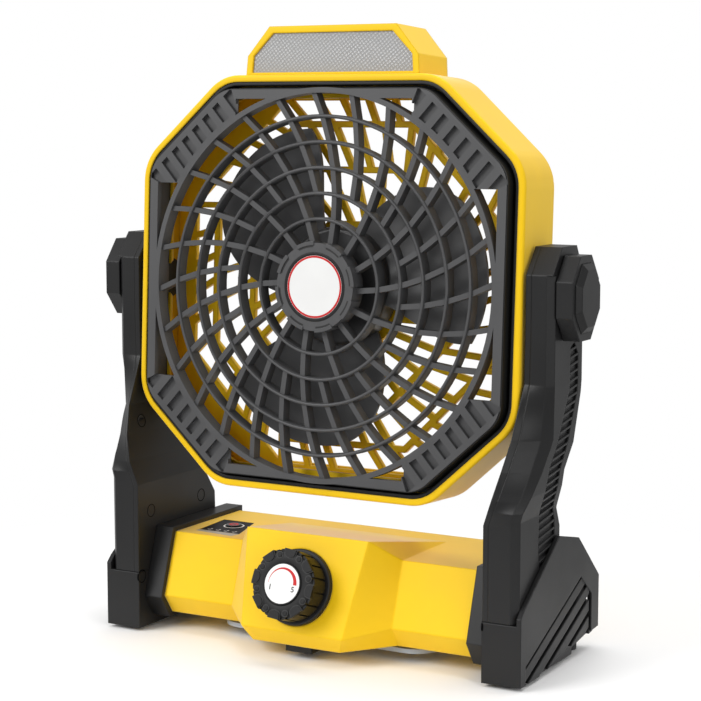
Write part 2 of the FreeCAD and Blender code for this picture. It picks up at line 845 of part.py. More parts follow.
def line_at(points, z):
    """The reach of a rising polyline of (height, reach) pairs at a height."""
    for (z0, r0), (z1, r1) in zip(points, points[1:]):
        if z0 - 1e-6 <= z <= z1 + 1e-6:
            return r0 + (r1 - r0) * (z - z0) / (z1 - z0)
    return points[0][1] if z < points[0][0] else points[-1][1]


def stacked(rows):
    """Solids between each outline of a stack and the next."""
    wires = [Part.makePolygon(points + points[:1]) for points in rows]
    return [Part.makeLoft([low, high], True, True) for low, high in zip(wires, wires[1:])]


def arm_edges(back=False):
    """The arm's faces and its front or rear edges, inner and outer, each as height and reach."""
    inner_x = [(number(b), number(a)) for a, b in arm_inner_line(0)[::-1]]
    outer_x = [(number(b), number(a)) for a, b in arm_outer_line(0)]
    side = [(number(b), number(a)) for a, b in arm_side_outline()]
    if back:
        return inner_x, outer_x, side[7:12], arm_outer_back()
    return inner_x, outer_x, side[6::-1], arm_outer_front()


def facet_cut(back=False, shift=0.0):
    """The space beyond the slanted front or rear face of the arm."""
    inner_x, outer_x, inner_y, outer_y = arm_edges(back)
    way = 1 if back else -1
    low = number(s["foot_step"]) - 7
    heights = {z for z, reach in inner_x + outer_x + inner_y + outer_y if low < z <= outer_y[-1][0]} | {low}
    rows = []
    for z in sorted(heights):
        near = V(line_at(inner_x, z), line_at(inner_y, z) - way * shift, z)
        far = V(line_at(outer_x, z), line_at(outer_y, z) - way * shift, z)
        over = (far - near) * 0.3
        beyond = near.y + way * 14
        rows.append([near - over, far + over, V(far.x + 8, beyond, z), V(near.x - 8, beyond, z)])
    return stacked(rows)


def chamfer_front(shape, size):
    """Breaks the arm's outer edge all along its front with a flat facet."""
    inner_x, outer_x, inner_y, outer_y = arm_edges()
    low = number(s["foot_step"]) - 7
    heights = {z for z, reach in inner_x + outer_x + inner_y + outer_y if low < z <= outer_y[-1][0]} | {low}
    rows = []
    for z in sorted(heights):
        near = V(line_at(inner_x, z), line_at(inner_y, z), z)
        far = V(line_at(outer_x, z), line_at(outer_y, z), z)
        slope = (far.y - near.y) / (far.x - near.x)
        start = V(far.x - size, far.y - size * slope, z)
        end = V(far.x, far.y + size, z)
        over = (end - start) * 0.4
        rows.append([start - over, end + over, V(far.x + 5, end.y, z), V(far.x + 5, start.y - 6, z),
                     V(start.x, start.y - 6, z)])
    return shape.cut(stacked(rows))


def rib_path():
    """The middle line and half width of the ribbed recess on the arm's outer face."""
    y, z = number(s["pivot_depth"]), number(s["pivot_height"])
    spots = [(5.3, -20.0, 2.0), (7.3, -25.0, 4.0), (7.3, -40.0, 4.2), (1.1, -58.0, 5.0), (-4.5, -71.0, 5.8),
             (-5.2, -86.0, 6.4), (-3.6, -95.0, 7.8), (-3.4, -105.0, 8.2), (-3.4, -116.0, 6.5)]
    return [(y + along, z + up, half) for along, up, half in spots]


def band(path, grow, depth, thickness):
    """A band of changing width along a path on a plane square to X."""
    left, right = [], []
    for i, (y, z, half) in enumerate(path):
        y0, z0 = path[max(i - 1, 0)][:2]
        y1, z1 = path[min(i + 1, len(path) - 1)][:2]
        length = math.hypot(y1 - y0, z1 - z0)
        ny, nz = -(z1 - z0) / length, (y1 - y0) / length
        reach = half + grow
        left.append(V(depth, y + ny * reach, z + nz * reach))
        right.append(V(depth, y - ny * reach, z - nz * reach))
    points = left + right[::-1]
    return Part.Face(Part.makePolygon(points + points[:1])).extrude(V(thickness, 0, 0))


def arm_parts():
    """The outer shell, its inner cover and the ribbed insert of the right arm."""
    cover = number(s["cover_thickness"])
    wall = number(s["arm_wall"])
    full = arm_blank("arm_full", 0, 0, 0).cut(facet_cut() + facet_cut(True))
    shell = full.common(arm_blank("arm_shell_blank", s["cover_thickness"], -6.0, 0))
    shell = chamfer_front(shell, number(s["arm_edge"]))
    hollow = arm_blank("arm_hollow", s["cover_thickness"] - 1, s["arm_wall"], wall)
    hollow = hollow.cut(facet_cut(False, wall) + facet_cut(True, wall))
    shell = shell.cut(hollow)
    inner = full.cut(arm_blank("arm_inner_blank", s["cover_thickness"] - 0.05, -6.0, 0))
    y, z = number(s["pivot_depth"]), number(s["pivot_height"])
    bore = Part.makeCylinder(number(s["pivot_radius"] + s["pivot_clearance"]), 60,
                             V(number(arm_inside) - 10, y, z), V(1, 0, 0))
    boss = Part.makeCylinder(number(s["pivot_flange"]), number(arm_outside - arm_inside) - cover - 1,
                             V(number(arm_inside) + cover + 0.3, y, z), V(1, 0, 0))
    holes = [screw_shape(spot, 0.05) for spot in screw_spots()]
    shell = shell.fuse(boss).cut(bore)
    inner = inner.cut([bore] + holes)
    recess_x = number(arm_outside) - number(s["rib_depth"]) - 8.0
    recess = band(rib_path(), 0.2, recess_x, 30).cut(lowered_outer(full))
    shell = shell.cut(recess.common(outer_skin(full)))
    return full, shell, inner


def lowered_outer(full):
    """The arm's space lowered by the depth of the ribbed recess."""
    copy = full.copy()
    copy.translate(V(-number(s["rib_depth"]), 0, 0))
    return copy


def outer_skin(full):
    """The layer of the arm's outer face that the ribbed recess takes."""
    return full.cut(lowered_outer(full))


def arm_ribs(full):
    """A thin backing strip with slanted ribs, seated in the recess."""
    depth = number(s["rib_depth"])
    skin = outer_skin(full)
    low = number(s["arm_foot_inside"])
    strip = band(rib_path(), 0.0, low, 60).common(skin)
    back_layer = full.copy()
    back_layer.translate(V(-(depth - 0.6), 0, 0))
    base = strip.common(back_layer)
    ribs = []
    z = number(s["pivot_height"]) - 20.0
    while z > number(s["pivot_height"]) - 114.0:
        plate = Part.makeBox(60, 60, number(s["rib_thickness"]), V(low, -30, 0))
        plate.rotate(V(0, 0, 0), V(1, 0, 0), 8)
        plate.translate(V(0, number(s["pivot_depth"]), z))
        ribs.append(plate)
        z -= number(s["rib_pitch"])
    ribs = strip.common(Part.makeCompound(ribs))
    shape = base.fuse(ribs.Solids)
    solids = sorted(shape.Solids, key=lambda solid: -solid.Volume)
    return solids[0]


def arms():
    full, shell, inner = arm_parts()
    right = node("arm_shell_right", feature("arm_shell_right_solid", shell.removeSplitter()))
    node("arm_shell_left", mirror("arm_shell_left_solid", right))
    cover = node("arm_cover_right", feature("arm_cover_right_solid", inner.removeSplitter()))
    node("arm_cover_left", mirror("arm_cover_left_solid", cover))
    ribs = node("arm_ribs_right", feature("arm_ribs_right_solid", arm_ribs(full)))
    node("arm_ribs_left", mirror("arm_ribs_left_solid", ribs))


# The knobs that clamp the tilt

def long_octagon(height, width, place=0.0):
    """Half sizes of an octagon with flats at front, back, top and bottom."""
    y, z = s["pivot_depth"], s["pivot_height"]
    b, a = height / 2, width / 2
    return [(y + a, z - b * EIGHTH), (y + a, z + b * EIGHTH), (y + a * EIGHTH, z + b),
            (y - a * EIGHTH, z + b), (y - a, z + b * EIGHTH), (y - a, z - b * EIGHTH),
            (y - a * EIGHTH, z - b), (y + a * EIGHTH, z - b)]


def clamp_knobs():
    start = arm_outside + s["knob_gap"]
    body = prism("clamp_knob_right_solid", "X", start, s["knob_length"],
                 [long_octagon(s["knob_height"], s["knob_width"])])
    right = node("clamp_knob_right", body)
    node("clamp_knob_left", mirror("clamp_knob_left_solid", right))
    low = number(start + s["knob_length"] + 0.05)
    wires = []
    for x, share in ((low, 1.0), (low + number(s["cap_length"]), number(s["cap_face"]))):
        outline = long_octagon(s["cap_height"] * share, s["cap_width"] * share)
        points = [V(x, number(a), number(b)) for a, b in outline]
        wires.append(Part.makePolygon(points + points[:1]))
    cap = node("knob_cap_right", feature("knob_cap_right_solid", Part.makeLoft(wires, True, True)))
    node("knob_cap_left", mirror("knob_cap_left_solid", cap))
    stem_start = arm_outside - s["arm_wall"] - 0.8
    y, z = s["pivot_depth"], s["pivot_height"]
    stem = cylinder("knob_stem_right_solid", s["pivot_radius"] - 1, start - stem_start - 0.05,
                    (stem_start, y, z), "X")
    node("knob_stem_right", stem)
    node("knob_stem_left", mirror("knob_stem_left_solid", stem))


# The feet

def foot_side_outline():
    """The outer wedge of the foot from the side."""
    low, step, peak = s["foot_lift"], s["foot_step"], s["foot_peak"]
    start, end = s["foot_front"], s["foot_back"]
    return [(start, low), (start, step - 3), (start + 3, step), (start + 38.5, peak + 0.0),
            (start + 59, peak - 4.5), (start + 63.5, peak - 8.5), (end, step - 1), (end, low + 7.5),
            (end - 20, low + 6), (end - 44, low + 3.5), (end - 60, low)]


def feet():
    """Each foot is a low block under the arm with a tall ribbed wedge outside it."""
    inside = s["arm_foot_inside"] - 0.2
    outside = inside + s["foot_width"]
    wedge_inside = s["arm_foot_inside"] + s["arm_foot_width"] + 0.15
    low, start, end = s["foot_lift"], s["foot_front"], s["foot_back"]
    top = s["foot_step"] - 6.1
    block = prism("foot_block", "X", inside, wedge_inside - inside + 1,
                  [[(start, low), (start, top), (end - 14, top), (end - 4, top - 8),
                    (end - 4, low + 6), (end - 24, low + 3), (end - 24, low)]])
    wedge = prism("foot_wedge", "X", wedge_inside, outside - wedge_inside, [foot_side_outline()])
    whole = fuse("foot_whole", block, wedge)
    pocket_shape = prism("foot_pocket", "X", outside - 2.4, 4.0,
                         [[(start + 5, low + 8), (start + 62, low + 34), (end - 8, low + 24),
                           (end - 8, low - 1), (start + 5, low - 1)]])
    cut_foot = cut("foot_cut", whole, pocket_shape)
    ribs = []
    y0, z0 = number(start) + 4, number(low) + 5.6
    for k in range(4):
        drop = 7.6 * k
        points = [V(0, y0, z0 - drop), V(0, y0, z0 - drop - 4.9), V(0, y0 + 80, z0 - drop + 31.6),
                  V(0, y0 + 80, z0 - drop + 36.5)]
        points = [p + V(number(outside) - 3, 0, 0) for p in points]
        ribs.append(Part.Face(Part.makePolygon(points + points[:1])).extrude(V(2.6, 0, 0)))
    bounds = prism("foot_rib_bounds", "X", outside - 3.2, 3.0, [foot_side_outline()]).Shape
    reach = Part.makeBox(40, number(end - start) - 15, 80, V(number(outside) - 20, number(start) + 5, 0))
    bounds = bounds.common(reach)
    ribs = [rib.common(bounds) for rib in ribs]
    shape = cut_foot.Shape.fuse(ribs).removeSplitter()
    seats = [Part.makeCylinder(number(s["pad_radius"]) + 0.1, height, V(px, py, 0), V(0, 0, 1))
             for (px, py), height in zip(pad_spots(), pad_heights(0.0))]
    shape = shape.cut(seats)
    right = node("foot_right", feature("foot_right_solid", shape))
    node("foot_left", mirror("foot_left_solid", right))


def pad_spots():
    """Where the two ground pads of the right foot stand, front first."""
    x = number(s["arm_foot_inside"]) + number(s["foot_width"]) / 2 - 1
    return [(x, number(s["foot_front"]) + 8), (x, number(s["foot_back"]) - 12)]


def pad_heights(gap):
    """How far up the front and the rear pad reach, less a gap."""
    low = number(s["foot_lift"])
    return low + number(s["pad_recess"]) - gap, low + 6.0 - gap


def foot_pads():
    radius = number(s["pad_radius"])
    right = [Part.makeCylinder(radius, height, V(px, py, 0), V(0, 0, 1))
             for (px, py), height in zip(pad_spots(), pad_heights(0.02))]
    left = [shape.mirror(V(0, 0, 0), V(1, 0, 0)) for shape in right]
    return node("foot_pads", group("foot_pads_solid", right + left))


# The base

def bar_outline(inset):
    """The bar of the base from the side, drawn in by an inset."""
    top, bottom = s["bar_top"] - inset, s["bar_bottom"] + inset
    return [(s["bar_front_top"] + inset * 0.9, top),
            (s["bar_front_knee"] + inset * 1.1, s["bar_knee"] + inset * 0.3),
            (s["bar_front_bottom"] + inset * 0.7, bottom), (s["bar_back"] - 5 - inset * 0.5, bottom),
            (s["bar_back"] - inset, bottom + 6), (s["bar_back"] - inset, top)]


def block_solid(inset):
    """The control block: a tapered wedge that grows out of the bar."""
    i = inset
    a = V(number(s["block_top_half"]) - i, number(s["block_top_front"]) + i, number(s["block_top"]) - i)
    b = V(number(s["block_knee_half"]) - i, number(s["block_knee_front"]) + i, number(s["block_knee"]) + i * 0.3)
    c = V(number(s["block_bottom_half"]) - i, number(s["block_bottom_front"]) + i, number(s["block_bottom"]) + i)
    root = number(s["block_root_half"]) - i
    d = V(root, number(s["bar_front_top"]) + i, number(s["bar_top"]) - i)
    e = V(root, number(s["bar_front_knee"]) + i, number(s["bar_knee"]) + i * 0.3)
    f = V(root, number(s["bar_front_bottom"]) + i, number(s["bar_bottom"]) + i)
    g = V(root, number(s["block_run_out"]), number(s["bar_top"]) - i)
    h = V(root, number(s["block_run_out"]), number(s["bar_bottom"]) + i)

    def flip(p):
        return V(-p.x, p.y, p.z)

    def flat(*points):
        return Part.Face(Part.makePolygon(list(points) + [points[0]]))

    def ruled(p, q, r, t):
        return Part.makeRuledSurface(Part.makeLine(p, q), Part.makeLine(r, t))

    faces = [flat(a, b, flip(b), flip(a)), flat(b, c, flip(c), flip(b)), flat(c, h, flip(h), flip(c)),
             flat(a, g, flip(g), flip(a)), flat(g, h, flip(h), flip(g))]
    for side in (lambda p: p, flip):
        p = [side(q) for q in (a, b, c, d, e, f, g, h)]
        faces += [ruled(p[0], p[1], p[3], p[4]), ruled(p[1], p[2], p[4], p[5]),
                  flat(p[0], p[3], p[6]), flat(p[2], p[5], p[7]), flat(p[3], p[4], p[5], p[7], p[6])]
    shell = Part.Shell(faces)
    shell.sewShape()
    solid = Part.Solid(shell)
    solid.fix(1e-4, 1e-4, 1e-4)
    if solid.Volume < 0:
        solid.reverse()
    return solid


def face_frame():
    """The middle of the speed knob on the block's face, and the way out of the face."""
    tilt = math.radians(number(s["dial_tilt"]))
    down = V(0, -math.sin(tilt), -math.cos(tilt))
    out = V(0, -math.cos(tilt), math.sin(tilt))
    top = V(0, number(s["block_top_front"]), number(s["block_top"]))
    return top + down * number(s["knob_centre_down"]), out


def display_outline(inset):
    """The display's slanted outline on the top of the base."""
    left, right = s["display_left"] + inset, s["display_right"] - inset
    low, high = s["display_front"] + inset, s["display_back"] - inset
    return [(left + 2.0, low), (right, low), (right - s["display_skew"], high), (left, high)]


def rear_window():
    """The lowest and highest edge of the opening in the back of the base."""
    return s["bar_bottom"] + s["bar_wall"] + 6, s["bar_top"] - s["bar_wall"]


def board_top():
    return s["bar_bottom"] + s["bar_wall"] + s["cell_radius"] * 2 + 4.4 + s["board_thickness"]


def base_shell():
    bar = prism("bar_outer", "X", -s["bar_half"], s["bar_half"] * 2, [bar_outline(s["bar_wall"] * 0)])
    room = prism("bar_room", "X", -s["bar_half"] + s["bar_wall"], (s["bar_half"] - s["bar_wall"]) * 2,
                 [bar_outline(s["bar_wall"])])
    behind = number(s["bar_back"]) - number(s["bar_wall"])
    half = number(s["bar_half"])
    open_back = Part.makeBox(2 * half - 2 * number(s["bar_wall"]), 10, 200,
                             V(-half + number(s["bar_wall"]), behind - 0.01, 0))
    low, high = rear_window()
    open_back = open_back.common(Part.makeBox(400, 400, number(high - low), V(-200, -200, number(low))))
    shape = bar.Shape.fuse(block_solid(0.0)).removeSplitter()
    inner_block = block_solid(number(s["bar_wall"]))
    shape = shape.cut(room.Shape.fuse(inner_block)).cut(open_back)
    centre, out = face_frame()
    spindle = Part.makeCylinder(number(s["spindle_radius"]) + 0.4, 20, centre - out * 12, out)
    skirt_seat = Part.makeCylinder(number(s["skirt_radius"]) + 0.1, 4, centre - out * 1.0, out)
    window = prism("display_window", "Z", s["bar_top"] - s["display_thickness"], 3.0, [display_outline(-0.1)])
    x, y = button_spot()
    button_way = Part.makeCylinder(number(s["button_radius"]) + 0.3, 20,
                                   V(number(x), number(y), number(s["bar_top"]) - 10), V(0, 0, 1))
    shape = shape.cut([spindle, skirt_seat, window.Shape, button_way])
    return node("base_shell", feature("base_shell_solid", shape))


def base_rear_cover():
    half, wall = s["bar_half"] - s["bar_wall"] - 0.1, s["bar_wall"]
    low, high = rear_window()
    low, high = low + 0.1, high - 0.1
    body = prism("base_rear_cover_solid", "Y", s["bar_back"] - wall, wall,
                 [[(-half, low), (half, low), (half, high), (-half, high)]])
    port_low, port_high = board_top() - 0.4, board_top() + 5.2
    port = [(34.5, port_low), (63.5, port_low), (63.5, port_high), (34.5, port_high)]
    pocket(body, "Y", s["bar_back"] - wall - 1, wall + 2, [port])
    return node("base_rear_cover", body)


def collars():
    start = s["bar_half"] + 0.0
    length = s["arm_foot_inside"] - 0.25 - start
    solid = prism("collar_solid", "X", start, length, [bar_outline(-s["collar_margin"])])
    hollow = prism("collar_hollow", "X", start + s["bar_wall"], length, [bar_outline(1.5 * s["bar_wall"])])
    right = node("collar_right", cut("collar_right_solid", solid, hollow))
    node("collar_left", mirror("collar_left_solid", right))


def display():
    body = prism("display_panel_solid", "Z", s["bar_top"] - s["display_thickness"], s["display_thickness"],
                 [display_outline(0.0)])
    x, y = button_spot()
    pocket(body, "Z", s["bar_top"] - s["display_thickness"] - 1, 3.0, (), [(x, y, s["button_radius"] + 0.3)])
    return node("display_panel", body)


def button_spot():
    return (s["display_left"] + s["display_right"]) / 2, (s["display_front"] + s["display_back"]) / 2 + 2


def lamp_button():
    x, y = button_spot()
    start = s["bar_top"] - s["display_thickness"] - 1.2
    return node("lamp_button", cylinder("lamp_button_solid", s["button_radius"],
                                        s["display_thickness"] + 1.2 + s["button_height"], (x, y, start), "Z"))


# The speed knob and what turns with it

def on_face(shape, height):
    """Moves a shape made along +Z from the origin onto the block's face."""
    centre, out = face_frame()
    turn = FreeCAD.Rotation(V(0, 0, 1), out)
    copy = shape.copy()
    copy.Placement = FreeCAD.Placement(centre + out * height, turn)
    return copy


def knob_skirt():
    radius, height = number(s["skirt_radius"]), number(s["skirt_height"])
    disc = Part.makeCylinder(radius, height + 1)
    disc = disc.makeFillet(0.8, [edge for edge in disc.Edges if edge.BoundBox.ZMin > height])
    disc = disc.cut(Part.makeCylinder(number(s["spindle_radius"]) + 0.4, height + 1))
    return node("knob_skirt", feature("knob_skirt_solid", on_face(disc, -0.98)))


def speed_knob():
    """A knob like a small off-road tyre, with lugs round its edge."""
    radius, height = number(s["tyre_radius"]), number(s["tyre_height"])
    lug = number(s["lug_height"])
    body = Part.makeCylinder(radius - lug, height)
    body = body.makeFillet(2.0, [edge for edge in body.Edges if edge.BoundBox.ZMin > height - 1e-6])
    lugs = []
    for k in range(8):
        block = Part.makeBox(2.6, 7.2, height - 1.4, V(radius - 2.6, -3.6, 0))
        block = block.common(Part.makeCylinder(radius, height))
        block.rotate(V(0, 0, 0), V(0, 0, 1), 45 * k + 22.5)
        lugs.append(block)
    body = body.fuse(lugs)
    sunk = number(s["dial_thickness"])
    body = body.cut(Part.makeCylinder(number(s["dial_radius"]) + 0.1, sunk, V(0, 0, height - sunk)))
    body = body.cut(Part.makeCylinder(number(s["spindle_radius"]), height - 3))
    start = number(s["skirt_height"]) + number(s["tyre_gap"])
    return node("speed_knob", feature("speed_knob_solid", on_face(body.removeSplitter(), start)))


def knob_dial():
    height = number(s["skirt_height"] + s["tyre_gap"] + s["tyre_height"] - s["dial_thickness"])
    disc = Part.makeCylinder(number(s["dial_radius"]), number(s["dial_thickness"]))
    return node("knob_dial", feature("knob_dial_solid", on_face(disc, height)))


def knob_spindle():
    reach = number(s["skirt_height"] + s["tyre_gap"] + s["tyre_height"]) - 3.1
    rod = Part.makeCylinder(number(s["spindle_radius"]) - 0.02, reach + 8)
    return node("knob_spindle", feature("knob_spindle_solid", on_face(rod, -8)))


def speed_switch():
    size = number(s["switch_size"])
    block = Part.makeBox(size, size, 7, V(-size / 2, -size / 2, 0))
    block = block.cut(Part.makeCylinder(number(s["spindle_radius"]) + 0.05, 20, V(0, 0, 1)))
    return node("speed_switch", feature("speed_switch_solid", on_face(block, -10.6)))


# The battery and boards inside the base

def battery():
    radius, length, gap = number(s["cell_radius"]), number(s["cell_length"]), number(s["cell_gap"])
    pitch = 2 * radius + gap
    low = number(s["bar_bottom"] + s["bar_wall"]) + 2.2 + radius
    cells = []
    for column in (-1, 0):
        x = column * (length + gap) + gap / 2
        for row in range(2):
            y = number(s["bar_back"] - s["cell_setback"]) - row * pitch
            cells.append(Part.makeCylinder(radius, length, V(x, y, low), V(1, 0, 0)))
    return node("battery_cells", group("battery_cells_solid", cells))


def battery_tray():
    radius, length, gap = number(s["cell_radius"]), number(s["cell_length"]), number(s["cell_gap"])
    pitch = 2 * radius + gap
    low = number(s["bar_bottom"] + s["bar_wall"]) + 0.05
    y0 = number(s["bar_back"] - s["cell_setback"]) - pitch - radius
    half = length + gap
    tray = Part.makeBox(2 * half, 2 * radius + pitch, 7, V(-half, y0, low))
    for row in range(2):
        y = number(s["bar_back"] - s["cell_setback"]) - row * pitch
        tray = tray.cut(Part.makeCylinder(radius + 0.05, 2 * half, V(-half, y, low + 2.15 + radius), V(1, 0, 0)))
    return node("battery_tray", feature("battery_tray_solid", tray))


def main_board():
    thick = s["board_thickness"]
    z = board_top() - thick
    top = number(z + thick)
    end = number(s["bar_back"] - s["bar_wall"]) - 0.3
    plate = box("main_board_plate", (-60.0, -5.0, z), (118.0, 34.0, thick))
    chips = [Part.makeBox(9, 9, 1.8, V(x, y, top)) for x, y in ((-22, 4), (6, 10), (28, 2))]
    ports = [Part.makeBox(9, end - 22, 3.4, V(36.5, 22, top)), Part.makeBox(13, end - 22, 4.4, V(48, 22, top))]
    posts = [Part.makeBox(3, 3, number(thick) + 2.2, V(x, y, number(z) - 2.2)) for x, y in ((-58, 12), (54, 12))]
    shape = plate.Shape.fuse(chips + ports + posts)
    return node("main_board", feature("main_board_solid", shape.removeSplitter()))


def port_flap():
    """A soft flap over the charging ports, hinged along its lower edge."""
    low, high = board_top() - 1.6, board_top() + 6.4
    body = prism("port_flap_solid", "Y", s["bar_back"] + 0.15, 1.8,
                 [[(33.0, low), (65.0, low), (65.0, high), (33.0, high)]])
    round_edges(body, 1.5, runs_along(V(0, 1, 0)))
    return node("port_flap", body)


# The hanging bail and the clip that holds it

def bail():
    """A flat strap bent into a wide loop, folded up under the base, with a barrel at each end."""
    half, width = s["bail_half"], s["bail_width"]
    y0 = s["bail_hinge_y"]
    low = y0 - s["bail_reach"]
    z = s["bail_height"] - s["bail_thickness"] / 2
    outer = prism("bail_outer", "Z", z, s["bail_thickness"],
                  [[(-half, low), (half, low), (half, y0), (-half, y0)]])
    round_edges(outer, s["bail_bend"], lambda edge: runs_along(V(0, 0, 1))(edge)
                and edge.BoundBox.YMax < number(low) + 0.01)
    room = half - width
    inner = prism("bail_inner", "Z", z - 1, s["bail_thickness"] + 2,
                  [[(-room, low + width), (room, low + width), (room, y0 + 9), (-room, y0 + 9)]])
    round_edges(inner, s["bail_bend"] - width, lambda edge: runs_along(V(0, 0, 1))(edge)
                and edge.BoundBox.YMax < number(low + width) + 0.01)
    strap = cut("bail_strap", outer, inner)
    shapes = [strap]
    for name, start, reach in (("left", -half, 0.0), ("right", half - width, width)):
        shapes.append(cylinder(f"bail_barrel_{name}", s["barrel_radius"], width,
                               (start, y0, s["bail_height"]), "X"))
        shapes.append(cylinder(f"bail_pin_{name}", s["bail_radius"], width * 2,
                               (start - reach, y0, s["bail_height"]), "X"))
    return node("hanging_bail", fuse("hanging_bail_solid", *shapes))


def bail_ears():
    """Two ears under the base that carry the bail's pins, and the stop at its middle."""
    y0, z = number(s["bail_hinge_y"]), number(s["bail_height"])
    inner = number(s["bail_half"] - s["bail_width"]) - 0.3
    top, reach = number(s["bar_bottom"]) - 0.02, number(s["barrel_radius"]) + 0.6
    ears = []
    for x in (inner - 5.0, -inner):
        ear = Part.makeBox(5.0, 8, top - z + reach, V(x, y0 - 4, z - reach))
        ears.append(ear.cut(Part.makeCylinder(number(s["bail_radius"]) + 0.06, 10, V(x - 3, y0, z), V(1, 0, 0))))
    start, low = number(s["catch_front"]), number(s["catch_bottom"])
    length = number(s["bail_hinge_y"] - s["bail_reach"]) - 0.3 - start
    half = number(s["catch_half"])
    catch = Part.makeBox(2 * half, length, 6, V(-half, start, low)).cut(block_solid(-0.02))
    catch = max(catch.Solids, key=lambda solid: solid.Volume)
    return node("bail_ears", group("bail_ears_solid", ears + [catch]))


def screw_spots():
    """Where the screws of an arm's cover stand: depth and height."""
    y, z = number(s["pivot_depth"]), number(s["pivot_height"])
    return [(y - 18.3, z - 64.9), (y - 22.4, z - 105.3), (y + 18.3, z - 105.1)]


def inner_face_x(z):
    """Where the arm's inner face lies at a height."""
    points = [(number(b), number(a)) for a, b in arm_inner_line(0)[::-1]]
    return line_at(points, z)


def screw_shape(spot, grow):
    """One screw with a domed head, pointing out of the arm's cover."""
    y, z = spot
    x = inner_face_x(z) + 0.3 - grow
    radius, length = number(s["screw_radius"]), number(s["screw_length"])
    head = Part.makeCylinder(radius + grow, 1.6 + grow, V(x, y, z), V(1, 0, 0))
    return head.fuse(Part.makeCylinder(radius * 0.55 + grow, length, V(x, y, z), V(1, 0, 0)))


def arm_screws():
    right = [screw_shape(spot, 0.0) for spot in screw_spots()]
    left = [shape.mirror(V(0, 0, 0), V(1, 0, 0)) for shape in right]
    return node("arm_screws", group("arm_screws_solid", right + left))


def tilt_washers():
    """A thin ring between the head and each arm."""
    y, z = number(s["pivot_depth"]), number(s["pivot_height"])
    thick = number(s["arm_gap"]) - 0.1
    rings = []
    for x in (number(half_width) + 0.05, -number(half_width) - 0.05 - thick):
        disc = Part.makeCylinder(number(s["washer_radius"]), thick, V(x, y, z), V(1, 0, 0))
        hole = Part.makeCylinder(number(s["pivot_radius"] + s["pivot_clearance"]), thick, V(x, y, z), V(1, 0, 0))
        rings.append(disc.cut(hole))
    return node("tilt_washers", group("tilt_washers_solid", rings))


for build in (head_shell, head_liner, front_grille, hub_badge, rear_grille, lamp_housing, lamp_lens, lamp_board,
              motor, impeller, motor_shaft, tilt_pins):
    build()
HEAD = list(nodes)
for build in (arms, clamp_knobs, feet, foot_pads, base_shell, base_rear_cover, collars, display,
              lamp_button, knob_skirt, speed_knob, knob_dial, knob_spindle, speed_switch, battery,
              battery_tray, main_board, port_flap, bail, bail_ears,
              arm_screws, tilt_washers):
    build()

# The head is modelled square to its own axis, then put on the tilt axis and leaned back

lean = FreeCAD.Placement(V(0, number(s["pivot_depth"]), number(s["pivot_height"])),
                         FreeCAD.Rotation(V(1, 0, 0), -number(s["rest_tilt"])))
for name in HEAD:
    nodes[name].Placement = lean.multiply(nodes[name].Placement)
doc.recompute()

for obj in doc.Objects:
    if "Invalid" in obj.State or "Error" in obj.State:
        raise RuntimeError(f"{obj.Label} did not build: {obj.State}")
os.makedirs("parts", exist_ok=True)
for name, obj in nodes.items():
    if obj.Shape.isNull() or not obj.Shape.isValid():
        raise RuntimeError(f"{name} has no valid shape")
    obj.Shape.exportStep(f"parts/{name}.step")
print(len(nodes), "nodes")
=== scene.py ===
import math

import bmesh
import bpy
from mathutils import Matrix, Vector


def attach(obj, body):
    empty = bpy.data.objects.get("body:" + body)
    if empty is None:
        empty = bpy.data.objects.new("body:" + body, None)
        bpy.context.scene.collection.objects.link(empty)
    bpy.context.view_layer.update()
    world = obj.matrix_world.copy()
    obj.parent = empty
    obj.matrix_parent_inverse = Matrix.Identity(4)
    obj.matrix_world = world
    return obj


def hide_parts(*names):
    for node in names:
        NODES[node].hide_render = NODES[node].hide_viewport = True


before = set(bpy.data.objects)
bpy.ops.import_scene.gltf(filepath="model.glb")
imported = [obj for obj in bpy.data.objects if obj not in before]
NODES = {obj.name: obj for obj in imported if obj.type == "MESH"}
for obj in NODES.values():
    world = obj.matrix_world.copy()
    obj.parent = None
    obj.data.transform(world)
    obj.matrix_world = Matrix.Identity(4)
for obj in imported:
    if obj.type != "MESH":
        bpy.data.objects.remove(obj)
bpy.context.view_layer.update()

MM = 0.001

# Where things are, in millimetres, as in the part's source

PIVOT = Vector((0.0, 1.9, 159.3))
LEAN = math.radians(3.0)
FACE_TILT = math.radians(18.6)
BLOCK_TOP = Vector((0.0, -26.2, 53.5))
KNOB_DOWN = 23.3
BAR_TOP = 44.2
NET_BACK = 12.1
COVER_BACK = 39.4

# The head: half its width and height, how far each corner is cut along both, and the rounding

HEAD_HALF = (95.0, 91.2)
HEAD_CORNER = (41.3, 37.8)
HEAD_ROUND = 21.0
HALF_CORNER = math.tan(math.radians(22.5))

# The groove round the grille: insets from the head's outline, and heights

LIP_INSIDE = 4.7
GRILLE_SIDE = 6.6
# Thickness of the black sheet of painted shade on the side of the grille's frame
SHADE_SHEET = 0.43
LEDGE = 6.5
GRILLE_FACE = 19.3

# The hub: rings by inner and outer radius, and the clips round it in degrees

HUB_FACE = 21.5
SEAT_RING = (13.6, 15.0)
RIM_RING = (12.55, 13.4)
SLOT_RING = (17.1, 17.9)
CLIP_RING = (17.9, 19.7)
CLIP_COUNT = 8
CLIP_TURN = 15.5
SLOT_HALF = 12
CLIP_HALF = 13.5

# The speed knob

